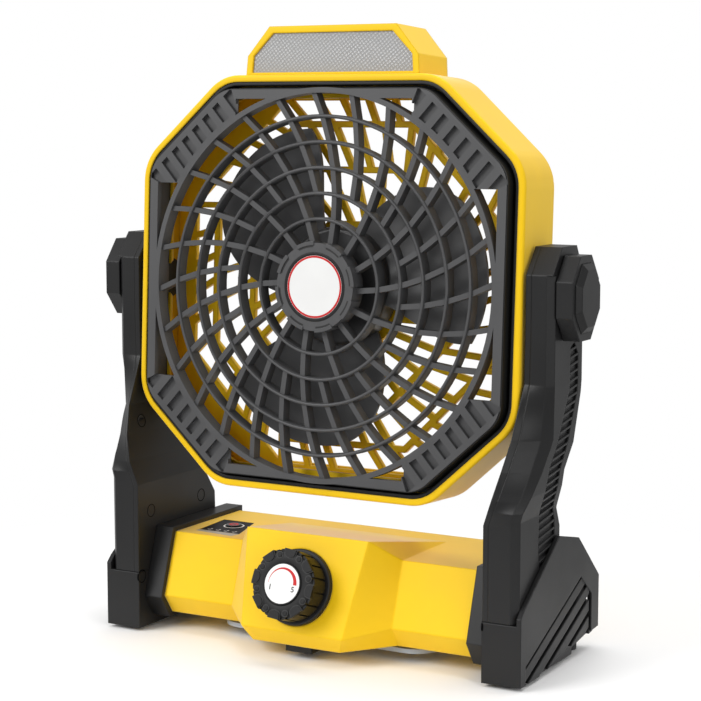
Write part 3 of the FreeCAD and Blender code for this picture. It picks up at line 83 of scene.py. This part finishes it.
KNOB_BACK = 2.8
KNOB_FACE = 14.2
KNOB_BORE = 8.7
KNOB_SIDE = 14.3
LUG_RING = (13.8, 15.15)
LUG_COUNT = 16
LUG_TURN = 5
LUG_HALF = 9.6
LUG_TOP = 12.9
BLOCK_COUNT = 8
BLOCK_TURN = -6.5
BLOCK_MIDDLE = 13.2
BLOCK_NOSE = (1.7, 2.6)
BLOCK_NOSE_ANGLES = (-1.2, -0.7, 0.0, 0.7, 1.2)
BLOCK_HALF = 2.8
BLOCK_LOW = 12.0
# How far the black painted shade round the blocks and studs reaches
BLOCK_SHADE_MARGIN = 0.4
STUD_RING = 12.7
STUD_RADIUS = 1.2
STUD_LOW = 12.5
STUD_SHADE_RADIUS = 1.6

# The dial's print

ARC_END = 181
ARC_STEPS = 36
ARC_OUTER = 6.8
ARC_INNER = 6.65
ARC_SHIFT = 0.4
ARC_SWELL = 1.6
ARC_POWER = 1.2
DIGIT_SIZE = 3.3
DIGIT_ACROSS = 5.6
DIGIT_DOWN = -2.0

# The display and its button, on the top of the bar

TRIM_OUTLINE = [(-70.5, -8.4), (-49.5, -10.6), (-48.2, -5.7), (-70.0, -5.7)]
MARK_COUNT = 4
MARK_START = -67.0
MARK_PITCH = 4.4
BUTTON = (-60.25, 8.25)
BUTTON_MOAT = (4.2, 4.9)
BUTTON_RING = (1.3, 2.3)

# The wells in the arms and feet: distance from the middle, depth, height, slope of the face

WELLS = ((94.3, -16.4, 94.4, 0.177), (86.6, -20.5, 54.0, 0.0), (86.6, 20.2, 54.2, 0.0),
         (86.4, -28.5, 24.9, 0.0))
WELL_SECTION = [(0.001, -0.6), (3.0, -0.6), (3.0, 0.08), (2.75, 0.1), (2.5, -0.25), (0.001, -0.28)]

# The screws at the back

SCREW_RADIUS = 2.2
NET_SCREW_RING = 22
COVER_SCREW_RADIUS = 1.9
COVER_SCREW_ACROSS = (-70.0, 70.0)
COVER_SCREW_UP = (20.5, 37.0)

# Materials


def new_material(name):
    material = bpy.data.materials.new(name)
    material.use_nodes = True
    tree = material.node_tree
    shader = next(n for n in tree.nodes if n.type == "BSDF_PRINCIPLED")
    return material, tree, shader


def noise(tree, scale, detail=3.0, roughness=0.55, stretch=(1, 1, 1)):
    """Noise in the part's own metres, so it doesn't depend on a mesh's layout."""
    place = tree.nodes.new("ShaderNodeTexCoord")
    mapping = tree.nodes.new("ShaderNodeMapping")
    mapping.inputs["Scale"].default_value = stretch
    tree.links.new(place.outputs["Object"], mapping.inputs["Vector"])
    texture = tree.nodes.new("ShaderNodeTexNoise")
    texture.inputs["Scale"].default_value = scale
    texture.inputs["Detail"].default_value = detail
    texture.inputs["Roughness"].default_value = roughness
    tree.links.new(mapping.outputs["Vector"], texture.inputs["Vector"])
    return texture.outputs["Fac"]


def span(tree, value, low, high, to_low, to_high):
    node = tree.nodes.new("ShaderNodeMapRange")
    node.inputs["From Min"].default_value = low
    node.inputs["From Max"].default_value = high
    node.inputs["To Min"].default_value = to_low
    node.inputs["To Max"].default_value = to_high
    tree.links.new(value, node.inputs["Value"])
    return node.outputs["Result"]


def blend_colour(tree, factor, one, two):
    node = tree.nodes.new("ShaderNodeMix")
    node.data_type = "RGBA"
    for socket, colour in ((node.inputs[6], one), (node.inputs[7], two)):
        if isinstance(colour, bpy.types.NodeSocket):
            tree.links.new(colour, socket)
        else:
            socket.default_value = (*colour, 1.0)
    tree.links.new(factor, node.inputs[0])
    return node.outputs[2]


def bump(tree, shader, height, strength, distance, rounded=0.0):
    """Surface relief, over corners that look rolled by a radius in metres."""
    node = tree.nodes.new("ShaderNodeBump")
    if rounded:
        corner = tree.nodes.new("ShaderNodeBevel")
        corner.samples = 6
        corner.inputs["Radius"].default_value = rounded
        tree.links.new(corner.outputs["Normal"], node.inputs["Normal"])
    node.inputs["Strength"].default_value = strength
    node.inputs["Distance"].default_value = distance
    tree.links.new(height, node.inputs["Height"])
    tree.links.new(node.outputs["Normal"], shader.inputs["Normal"])


def plastic(name, colour, rough, grain=1400.0, depth=0.00004, worn=None, sheen=0.0, specular=0.5,
            rounded=0.0):
    """Moulded plastic: faint mottling, fine grain, slightly uneven gloss, paler worn edges."""
    material, tree, shader = new_material(name)
    broad = noise(tree, 38.0)
    fine = noise(tree, grain, 2.0)
    deeper = [c * 0.93 for c in colour]
    mottled = blend_colour(tree, span(tree, broad, 0.3, 0.7, 0.0, 1.0), deeper, colour)
    geometry = tree.nodes.new("ShaderNodeNewGeometry")
    edge = span(tree, geometry.outputs["Pointiness"], 0.53, 0.62, 0.0, 0.35)
    tint = worn or [min(1.0, c * 1.25 + 0.01) for c in colour]
    tree.links.new(blend_colour(tree, edge, mottled, tint), shader.inputs["Base Color"])
    tree.links.new(span(tree, broad, 0.25, 0.75, rough - 0.04, rough + 0.05), shader.inputs["Roughness"])
    shader.inputs["Specular IOR Level"].default_value = specular
    shader.inputs["Sheen Weight"].default_value = sheen
    shader.inputs["Sheen Roughness"].default_value = 0.35
    bump(tree, shader, fine, 0.35, depth, rounded)
    return material


def metal(name, colour, rough, stretch=(1, 1, 40)):
    """Drawn steel: fine lines along the drawing direction."""
    material, tree, shader = new_material(name)
    lines = noise(tree, 260.0, 4.0, stretch=stretch)
    shade = blend_colour(tree, span(tree, lines, 0.3, 0.7, 0.0, 1.0), [c * 0.85 for c in colour], colour)
    tree.links.new(shade, shader.inputs["Base Color"])
    shader.inputs["Metallic"].default_value = 1.0
    tree.links.new(span(tree, lines, 0.3, 0.7, rough - 0.06, rough + 0.08), shader.inputs["Roughness"])
    bump(tree, shader, lines, 0.2, 0.00002)
    return material


def lens_material():
    """A milky lens with fine dimples in slanted rows, its colour painted darker towards each dimple's rim as
    shade.
    """
    material, tree, shader = new_material("lens")
    place = tree.nodes.new("ShaderNodeTexCoord")
    cells = tree.nodes.new("ShaderNodeTexVoronoi")
    cells.inputs["Scale"].default_value = 720.0
    cells.inputs["Randomness"].default_value = 0.1
    turned = tree.nodes.new("ShaderNodeMapping")
    turned.inputs["Rotation"].default_value = (0.0, math.radians(38), 0.0)
    tree.links.new(place.outputs["Object"], turned.inputs["Vector"])
    tree.links.new(turned.outputs["Vector"], cells.inputs["Vector"])
    # Painted shade: lighter in each dimple, darker towards its rim, in the same pattern as the bump
    dimple_shade = span(tree, cells.outputs["Distance"], 0.0, 0.6, 0.0, 1.0)
    tree.links.new(blend_colour(tree, dimple_shade, (0.39, 0.39, 0.39), (0.30, 0.30, 0.30)),
                   shader.inputs["Base Color"])
    tree.links.new(span(tree, noise(tree, 60.0), 0.3, 0.7, 0.16, 0.26), shader.inputs["Roughness"])
    shader.inputs["Coat Weight"].default_value = 0.4
    bump(tree, shader, cells.outputs["Distance"], 0.5, 0.00025)
    return material


def flat_paint(name, colour, rough=0.4):
    """Printed ink, and flat painted shade, with a faint screen grain."""
    material, tree, shader = new_material(name)
    grain = noise(tree, 900.0, 2.0)
    shade = blend_colour(tree, span(tree, grain, 0.3, 0.7, 0.0, 1.0), [c * 0.92 for c in colour], colour)
    tree.links.new(shade, shader.inputs["Base Color"])
    shader.inputs["Roughness"].default_value = rough
    bump(tree, shader, grain, 0.15, 0.00001)
    return material


YELLOW = plastic("yellow_plastic", (0.93, 0.585, 0.003), 0.46, worn=(1.0, 0.66, 0.02), sheen=0.45,
                 specular=0.22, rounded=0.0013)
GREY = plastic("grey_plastic", (0.058, 0.058, 0.060), 0.46)
BLACK = plastic("black_plastic", (0.009, 0.009, 0.0093), 0.38, depth=0.00006, specular=0.32, rounded=0.0008)
TREAD = plastic("tread_plastic", (0.006, 0.006, 0.0062), 0.42, depth=0.00005, specular=0.22)
PANEL = plastic("panel_gloss", (0.004, 0.003, 0.004), 0.45, depth=0.00001, specular=0.08)
DARK = plastic("inner_plastic", (0.010, 0.010, 0.011), 0.5, specular=0.35)
BLADE = plastic("blade_plastic", (0.065, 0.065, 0.067), 0.34)
GLOSS = plastic("gloss_plastic", (0.006, 0.006, 0.006), 0.25, depth=0.00001, specular=0.3)
RUBBER = plastic("soft_rubber", (0.02, 0.02, 0.021), 0.72, grain=2200.0, depth=0.00008)
WHITE = plastic("white_plastic", (0.78, 0.78, 0.77), 0.30, depth=0.00001)
BOARD = plastic("board_lacquer", (0.02, 0.13, 0.06), 0.26)
CELL = plastic("cell_wrap", (0.06, 0.17, 0.38), 0.24)
PAINT = plastic("strap_paint", (0.33, 0.37, 0.43), 0.38, specular=0.6)
STEEL = metal("drawn_steel", (0.60, 0.61, 0.62), 0.28)
LENS = lens_material()
RED = flat_paint("red_ink", (0.56, 0.003, 0.004), 0.6)
PALE = flat_paint("pale_ink", (0.80, 0.80, 0.80), 0.45)
# Black ink for the dial's numbers, and flat black painted shade in the hub's slots, the groove round the
# grille, the tread's grooves and the screws' crosses
INK_AND_SHADE = flat_paint("black_ink_and_painted_shade", (0.008, 0.008, 0.008), 0.5)
# Near-black with no gloss: painted shade in the shallow wells, standing for the shade inside deep screw holes
WELL_SHADE = plastic("painted_well_shade", (0.0012, 0.0012, 0.0012), 0.9, specular=0.0)
SILVER = flat_paint("silver_ink", (0.46, 0.44, 0.38), 0.32)

FINISH = {
    YELLOW: ["head_shell", "rear_grille", "lamp_housing", "base_shell", "base_rear_cover"],
    GREY: ["front_grille"],
    BLACK: ["arm_shell_left", "arm_shell_right", "arm_cover_left", "arm_cover_right", "arm_ribs_left",
            "arm_ribs_right", "clamp_knob_left", "clamp_knob_right", "foot_left", "foot_right", "collar_left",
            "collar_right", "bail_ears", "knob_cap_left", "knob_cap_right", "head_liner"],
    DARK: ["tilt_pins", "knob_stem_left", "knob_stem_right", "knob_skirt", "speed_switch", "battery_tray"],
    BLADE: ["impeller"],
    GLOSS: ["speed_knob", "lamp_button"],
    PANEL: ["display_panel"],
    WHITE: ["hub_badge", "knob_dial"],
    RUBBER: ["tilt_washers", "foot_pads", "port_flap"],
    BOARD: ["lamp_board", "main_board"],
    CELL: ["battery_cells"],
    STEEL: ["fan_motor", "motor_shaft", "knob_spindle"],
    # The arm screws are painted black as the shade of the holes they sit in
    INK_AND_SHADE: ["arm_screws"],
    PAINT: ["hanging_bail"],
    LENS: ["lamp_lens"],
}


def dress(obj, material):
    slots = obj.data.materials
    if len(slots) == 0:
        slots.append(material)
    for i in range(len(slots)):
        slots[i] = material


def soften(obj, width, segments=2):
    """A small rolled edge on every sharp corner, as moulded plastic has."""
    modifier = obj.modifiers.new("soft_edges", "BEVEL")
    modifier.width = width * MM
    modifier.segments = segments
    modifier.limit_method = "ANGLE"
    modifier.angle_limit = math.radians(34)
    modifier.harden_normals = True


# How wide the rolled edges of the parts are, in millimetres

EDGES = {
    0.15: ["display_panel", "hub_badge"],
    0.2: ["head_liner", "lamp_button"],
    0.22: ["front_grille"],
    0.3: ["rear_grille", "lamp_lens", "base_rear_cover", "hanging_bail", "port_flap"],
    0.35: ["speed_knob"],
    0.4: ["arm_cover_left", "arm_cover_right", "impeller"],
    0.5: ["head_shell", "knob_cap_left", "knob_cap_right", "bail_ears"],
    0.6: ["arm_shell_left", "arm_shell_right"],
    0.7: ["clamp_knob_left", "clamp_knob_right", "collar_left", "collar_right"],
    0.8: ["base_shell"],
    0.9: ["foot_left", "foot_right"],
    1.2: ["lamp_housing"],
}

for material, names in FINISH.items():
    for name in names:
        dress(NODES[name], material)
for width, names in EDGES.items():
    for name in names:
        soften(NODES[name], width)

# Small pieces that the solids leave out


class Shapes:
    """Closed shapes gathered into one piece, in millimetres, in the frame of a matrix."""

    def __init__(self, place):
        self.place = place
        self.points = []
        self.faces = []

    def add(self, points, faces):
        first = len(self.points)
        self.points += [self.place @ Vector(point) for point in points]
        self.faces += [[first + i for i in face] for face in faces]

    def prism(self, outline, low, high):
        """An outline in X and Y, drawn out along Z."""
        count = len(outline)
        points = [(x, y, z) for z in (low, high) for x, y in outline]
        sides = [[i, (i + 1) % count, count + (i + 1) % count, count + i] for i in range(count)]
        self.add(points, [list(range(count))[::-1], list(range(count, 2 * count))] + sides)

    def lathe(self, section, sides=96, centre=(0.0, 0.0)):
        """A closed section of radius and height, spun about Z."""
        count = len(section)
        points = []
        for k in range(sides):
            turn = 2 * math.pi * k / sides
            across, up = math.cos(turn), math.sin(turn)
            points += [(centre[0] + r * across, centre[1] + r * up, z) for r, z in section]
        faces = []
        for k in range(sides):
            here, there = k * count, (k + 1) % sides * count
            for i in range(count):
                j = (i + 1) % count
                faces.append([here + i, here + j, there + j, there + i])
        self.add(points, faces)

    def ring(self, radii, low, high, sides=96, centre=(0.0, 0.0)):
        """A flat ring between an inner and an outer radius."""
        inner, outer = radii
        self.lathe([(inner, low), (inner, high), (outer, high), (outer, low)], sides, centre)

    def band(self, outer, inner, low, high):
        """The wall between two outlines that have as many points."""
        count = len(outer)
        points = [(x, y, z) for z in (low, high) for x, y in outer + inner]
        faces = []
        for i in range(count):
            j = (i + 1) % count
            faces.append([i, j, 2 * count + j, 2 * count + i])
            faces.append([count + i, 3 * count + i, 3 * count + j, count + j])
            faces.append([i, count + i, count + j, j])
            faces.append([2 * count + i, 2 * count + j, 3 * count + j, 3 * count + i])
        self.add(points, faces)


def at(radius, degrees):
    return radius * math.cos(math.radians(degrees)), radius * math.sin(math.radians(degrees))


def sector(radii, middle, half, steps=6):
    """The outline of a piece of a ring."""
    inner, outer = radii
    angles = [middle - half + 2 * half * i / steps for i in range(steps + 1)]
    return [at(outer, a) for a in angles] + [at(inner, a) for a in angles[::-1]]


def disc(radius, sides, centre):
    spots = [at(radius, 360 * i / sides) for i in range(sides)]
    return [(centre[0] + x, centre[1] + y) for x, y in spots]


def rectangle(left, right, low, high):
    return [(left, low), (right, low), (right, high), (left, high)]


def head_outline(inset, steps=8):
    """The head's eight sides with round corners, drawn in by an inset."""
    narrow = inset * (1 - HALF_CORNER)
    right, top = HEAD_HALF[0] - inset, HEAD_HALF[1] - inset
    shoulder, side = right - HEAD_CORNER[0] + narrow, top - HEAD_CORNER[1] + narrow
    corners = [(shoulder, top), (-shoulder, top), (-right, side), (-right, -side),
               (-shoulder, -top), (shoulder, -top), (right, -side), (right, side)]
    reach = (HEAD_ROUND - inset) * HALF_CORNER
    outline = []
    for i, corner in enumerate(corners):
        middle = Vector(corner)
        start = middle + (Vector(corners[i - 1]) - middle).normalized() * reach
        end = middle + (Vector(corners[(i + 1) % 8]) - middle).normalized() * reach
        for k in range(steps + 1):
            share = k / steps
            rest = 1 - share
            outline.append(tuple(start * rest ** 2 + middle * 2 * share * rest + end * share ** 2))
    return outline


def piece(name, shapes, material, body, edge=0.0):
    """Makes an object of gathered shapes, with soft edges, that rides on a body."""
    mesh = bpy.data.meshes.new(name)
    mesh.from_pydata([point * MM for point in shapes.points], [], shapes.faces)
    work = bmesh.new()
    work.from_mesh(mesh)
    bmesh.ops.recalc_face_normals(work, faces=work.faces)
    work.to_mesh(mesh)
    work.free()
    mesh.polygons.foreach_set("use_smooth", [True] * len(mesh.polygons))
    mesh.set_sharp_from_angle(angle=math.radians(32))
    mesh.materials.append(material)
    obj = bpy.data.objects.new(name, mesh)
    bpy.context.scene.collection.objects.link(obj)
    if edge:
        soften(obj, edge)
    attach(obj, body)
    return obj


# Places for small pieces: X right, Y up and Z out, as seen from the side that a piece is on

HEAD = Matrix.Translation(PIVOT) @ Matrix.Rotation(-LEAN, 4, "X")
HEAD_FRONT = HEAD @ Matrix.Rotation(math.radians(90), 4, "X")
HEAD_BACK = HEAD @ Matrix.Rotation(math.radians(-90), 4, "X") @ Matrix.Rotation(math.pi, 4, "Z")
BASE_BACK = Matrix.Rotation(math.radians(-90), 4, "X") @ Matrix.Rotation(math.pi, 4, "Z")
KNOB_PLACE = BLOCK_TOP + Vector((0, -math.sin(FACE_TILT), -math.cos(FACE_TILT))) * KNOB_DOWN
KNOB = Matrix.Translation(KNOB_PLACE) @ Matrix.Rotation(math.radians(90) - FACE_TILT, 4, "X")


def hub_details():
    """The dark ring and the red rim of the badge, the clips round the hub, and black painted shade in the
    slots beside the clips.
    """
    seat, slots, clips, rim = (Shapes(HEAD_FRONT) for _ in range(4))
    seat.ring(SEAT_RING, HUB_FACE - 0.6, HUB_FACE + 0.15)
    for k in range(CLIP_COUNT):
        middle = CLIP_TURN + 360 / CLIP_COUNT * k
        # Painted shade: flat black sheets in the slots, where the gaps fall dark
        slots.prism(sector(SLOT_RING, middle, SLOT_HALF), HUB_FACE - 0.3, HUB_FACE + 0.02)
        clips.prism(sector(CLIP_RING, middle, CLIP_HALF), HUB_FACE - 7, HUB_FACE + 0.5)
    rim.ring(RIM_RING, HUB_FACE - 0.3, HUB_FACE + 0.05)
    piece("badge_seat", seat, BLACK, "head", 0.1)
    piece("hub_slot_shade", slots, INK_AND_SHADE, "head")
    piece("hub_clips", clips, GREY, "head", 0.25)
    piece("badge_rim", rim, RED, "head")


def grille_groove_shade():
    """Painted shade: a black sheet on the grey side of the grille's frame and on the floor of the groove
    round it, where shade falls.
    """
    side, bottom = Shapes(HEAD_FRONT), Shapes(HEAD_FRONT)
    inner = GRILLE_SIDE - 0.02
    side.band(head_outline(inner - SHADE_SHEET), head_outline(inner), LEDGE + 0.1, GRILLE_FACE - 0.5)
    piece("grille_side_shade", side, INK_AND_SHADE, "head")
    bottom.band(head_outline(LIP_INSIDE), head_outline(GRILLE_SIDE - 0.5), LEDGE, LEDGE + 0.2)
    piece("groove_floor_shade", bottom, INK_AND_SHADE, "head")


def tread_block(middle, grow):
    """The outline of a block of the tread: rounded inside, square outside."""
    turn = Matrix.Rotation(math.radians(middle), 2)
    deep, wide = (size + grow for size in BLOCK_NOSE)
    nose = [(BLOCK_MIDDLE - deep * math.cos(a), wide * math.sin(a)) for a in BLOCK_NOSE_ANGLES]
    half = BLOCK_HALF + grow
    outline = [(LUG_RING[1], -half)] + nose + [(LUG_RING[1], half)]
    return [tuple(turn @ Vector(spot)) for spot in outline]


def tyre_knob():
    """The speed knob as a small off-road tyre: side lugs, and blocks and studs round its face, with black
    painted shade in the grooves round them.
    """
    shapes, tread_shade = Shapes(KNOB), Shapes(KNOB)
    rim = KNOB_FACE + 0.1
    shapes.lathe([(KNOB_BORE, KNOB_BACK), (KNOB_SIDE, KNOB_BACK), (KNOB_SIDE, LUG_TOP), (13.9, 13.45),
                  (12.2, 13.7), (10.6, 13.75), (9.4, 13.65), (KNOB_BORE + 0.4, rim), (KNOB_BORE, rim)])
    for k in range(LUG_COUNT):
        middle = 360 / LUG_COUNT * k + LUG_TURN
        shapes.prism(sector(LUG_RING, middle, LUG_HALF), KNOB_BACK + 0.5, LUG_TOP)
    for k in range(BLOCK_COUNT):
        middle = BLOCK_TURN + 360 / BLOCK_COUNT * k
        shapes.prism(tread_block(middle, 0.0), BLOCK_LOW, KNOB_FACE)
        # Painted shade: black outlines a little wider than the blocks and studs, standing for the shade in
        # the grooves round them
        tread_shade.prism(tread_block(middle, BLOCK_SHADE_MARGIN), BLOCK_LOW, KNOB_FACE - 0.38)
        stud = at(STUD_RING, middle + 180 / BLOCK_COUNT)
        shapes.lathe([(0.001, STUD_LOW), (STUD_RADIUS, STUD_LOW), (STUD_RADIUS, KNOB_FACE - 0.2),
                      (STUD_RADIUS - 0.2, KNOB_FACE - 0.05), (0.001, KNOB_FACE - 0.05)], 24, stud)
        tread_shade.prism(disc(STUD_SHADE_RADIUS, 24, stud), STUD_LOW, KNOB_FACE - 0.36)
    piece("tread_groove_shade", tread_shade, INK_AND_SHADE, "speed_control")
    knob = piece("tyre_knob", shapes, TREAD, "speed_control", 0.18)
    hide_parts("speed_knob")


def screw_wells():
    """Wells in the inner faces of the arms and feet, painted near-black as the shade inside them."""
    for side, sign in (("right", 1), ("left", -1)):
        for number, (across, depth, height, slope) in enumerate(WELLS):
            facing = Vector((-sign, 0, slope)).to_track_quat("Z", "Y").to_matrix().to_4x4()
            well = Shapes(Matrix.Translation((sign * across, depth, height)) @ facing)
            well.lathe(WELL_SECTION, 32)
            piece(f"screw_well_{side}_{number + 1}", well, WELL_SHADE, "base")


def dial_number(name, text, across):
    """A plain number that stands just proud of the dial."""
    data = bpy.data.curves.new(name, "FONT")
    data.body = text
    data.size = DIGIT_SIZE
    data.extrude = 0.03
    data.offset = 0.06
    data.align_x = "CENTER"
    data.align_y = "CENTER"
    data.materials.append(INK_AND_SHADE)
    obj = bpy.data.objects.new(name, data)
    bpy.context.scene.collection.objects.link(obj)
    spot = Matrix.Translation((across, DIGIT_DOWN, KNOB_FACE + 0.02))
    obj.matrix_world = Matrix.Scale(MM, 4) @ KNOB @ spot
    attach(obj, "speed_control")


def dial_print():
    """A red arc that swells towards the high end, and a plain number at each end."""
    outer, inner = [], []
    for i in range(ARC_STEPS + 1):
        share = i / ARC_STEPS
        angle = ARC_END - ARC_END * share
        outer.append(at(ARC_OUTER + ARC_SHIFT * share, angle))
        inner.append(at(ARC_INNER + ARC_SHIFT * share - ARC_SWELL * share ** ARC_POWER, angle))
    arc = Shapes(KNOB)
    arc.prism(outer + inner[::-1], KNOB_FACE - 0.1, KNOB_FACE + 0.03)
    piece("dial_arc", arc, RED, "speed_control")
    dial_number("dial_low", "1", -DIGIT_ACROSS)
    dial_number("dial_high", "5", DIGIT_ACROSS)


def panel_print():
    """The trim, the marks and the ring round the button on the display."""
    trim, marks, spot = (Shapes(Matrix.Translation((0, 0, BAR_TOP))) for _ in range(3))
    trim.prism(TRIM_OUTLINE, -0.4, 0.05)
    piece("display_trim", trim, SILVER, "base")
    for k in range(MARK_COUNT):
        x = MARK_START + MARK_PITCH * k
        marks.prism(rectangle(x, x + 1.5, -3.6, -3.0), -0.3, 0.03)
        marks.prism(rectangle(x + 1.0, x + 1.7, -2.6, -1.4), -0.3, 0.03)
    marks.ring(BUTTON_MOAT, -0.3, 0.03, 48, BUTTON)
    piece("display_marks", marks, PALE, "base")
    spot.ring(BUTTON_RING, 0.5, 0.83, 36, BUTTON)
    piece("button_ring", spot, RED, "lamp_switch")


def cross_head(shapes, slots, centre, height, radius):
    """A domed screw head at a height, with a black cross through its top as painted shade for a sunk cross.
    """
    shapes.lathe([(0.001, height - 0.5), (radius, height - 0.5), (radius, height + 0.3),
                  (radius * 0.7, height + 0.75), (0.001, height + 0.9)], 32, centre)
    arm, thin = radius * 0.6, radius * 0.16
    x, y = centre
    for wide, tall in ((arm, thin), (thin, arm)):
        slots.prism(rectangle(x - wide, x + wide, y - tall, y + tall), height + 0.4, height + 0.93)


def back_screws():
    """Screws that hold the rear net's middle and the cover of the base."""
    heads, slots = Shapes(HEAD_BACK), Shapes(HEAD_BACK)
    for k in range(4):
        cross_head(heads, slots, at(NET_SCREW_RING, 45 + 90 * k), NET_BACK - 0.1, SCREW_RADIUS)
    piece("net_screws", heads, STEEL, "head")
    piece("net_screw_slot_shade", slots, INK_AND_SHADE, "head")
    heads, slots = Shapes(BASE_BACK), Shapes(BASE_BACK)
    for x in COVER_SCREW_ACROSS:
        for z in COVER_SCREW_UP:
            cross_head(heads, slots, (x, z), COVER_BACK - 0.1, COVER_SCREW_RADIUS)
    piece("cover_screws", heads, STEEL, "base")
    piece("cover_screw_slot_shade", slots, INK_AND_SHADE, "base")


hub_details()
grille_groove_shade()
screw_wells()
tyre_knob()
dial_print()
panel_print()
back_screws()

# The camera at the photograph's angle, in metres

CAMERA_PLACE = Vector((0.42312, -0.73085, 0.23454))
CAMERA_LOOK = Vector((-0.4913, 0.8624, -0.1219))
CAMERA_LENS = 99.26


def aim(obj, target):
    obj.rotation_euler = (Vector(target) - obj.location).to_track_quat("-Z", "Y").to_euler()


camera = bpy.data.objects.new("camera", bpy.data.cameras.new("camera"))
bpy.context.scene.collection.objects.link(camera)
camera.location = CAMERA_PLACE
aim(camera, camera.location + CAMERA_LOOK)
camera.data.lens = CAMERA_LENS
camera.data.sensor_width = 36.0
camera.data.clip_start = 0.01
bpy.context.scene.camera = camera

# Floor, world and lights: metres, and strengths in watts

FLOOR_FADE = (0.10, 0.30)
FLOOR_HALF = 0.5
FLOOR_DROP = -0.4 * MM
WORLD_LIGHT = 0.55
LAMPS = {
    "key": ((-0.75, -1.15, 0.95), (0, 0, 0.13), (0.8, 0.8), 15.0),
    "fill": ((1.2, -0.7, 0.5), (0, 0, 0.12), (0.7, 0.9), 4.0),
    "top": ((0.1, 0.25, 1.5), (0, 0, 0.1), (1.2, 1.0), 13.0),
}


def floor_material():
    """Pale paint near the object that fades into the white of the studio."""
    material, tree, shader = new_material("floor_paint")
    shader.inputs["Base Color"].default_value = (0.96, 0.955, 0.95, 1.0)
    shader.inputs["Roughness"].default_value = 0.9
    shader.inputs["Specular IOR Level"].default_value = 0.1
    bump(tree, shader, noise(tree, 300.0), 0.1, 0.00005)
    place = tree.nodes.new("ShaderNodeTexCoord")
    far = tree.nodes.new("ShaderNodeVectorMath")
    far.operation = "LENGTH"
    tree.links.new(place.outputs["Object"], far.inputs[0])
    near, gone = FLOOR_FADE
    tree.links.new(span(tree, far.outputs["Value"], near, gone, 1.0, 0.0), shader.inputs["Alpha"])
    return material


corners = [(x, y, FLOOR_DROP) for x, y in rectangle(-FLOOR_HALF, FLOOR_HALF, -FLOOR_HALF, FLOOR_HALF)]
floor_mesh = bpy.data.meshes.new("floor")
floor_mesh.from_pydata(corners, [], [(0, 1, 2, 3)])
floor = bpy.data.objects.new("floor", floor_mesh)
bpy.context.scene.collection.objects.link(floor)
floor_mesh.materials.append(floor_material())

world = bpy.data.worlds.new("studio")
bpy.context.scene.world = world
world.use_nodes = True
tree = world.node_tree
sky = next(n for n in tree.nodes if n.type == "BACKGROUND")
sky.inputs["Color"].default_value = (1.0, 1.0, 1.0, 1.0)
rays = tree.nodes.new("ShaderNodeLightPath")
strength = span(tree, rays.outputs["Is Camera Ray"], 0.0, 1.0, WORLD_LIGHT, 1.0)
tree.links.new(strength, sky.inputs["Strength"])


def area_light(name, place, target, size, power):
    data = bpy.data.lights.new(name, "AREA")
    data.shape = "RECTANGLE"
    data.size, data.size_y = size
    data.energy = power
    light = bpy.data.objects.new(name, data)
    bpy.context.scene.collection.objects.link(light)
    light.location = place
    aim(light, target)


for name, settings in LAMPS.items():
    area_light(name, *settings)

bpy.context.scene.view_settings.view_transform = "Standard"
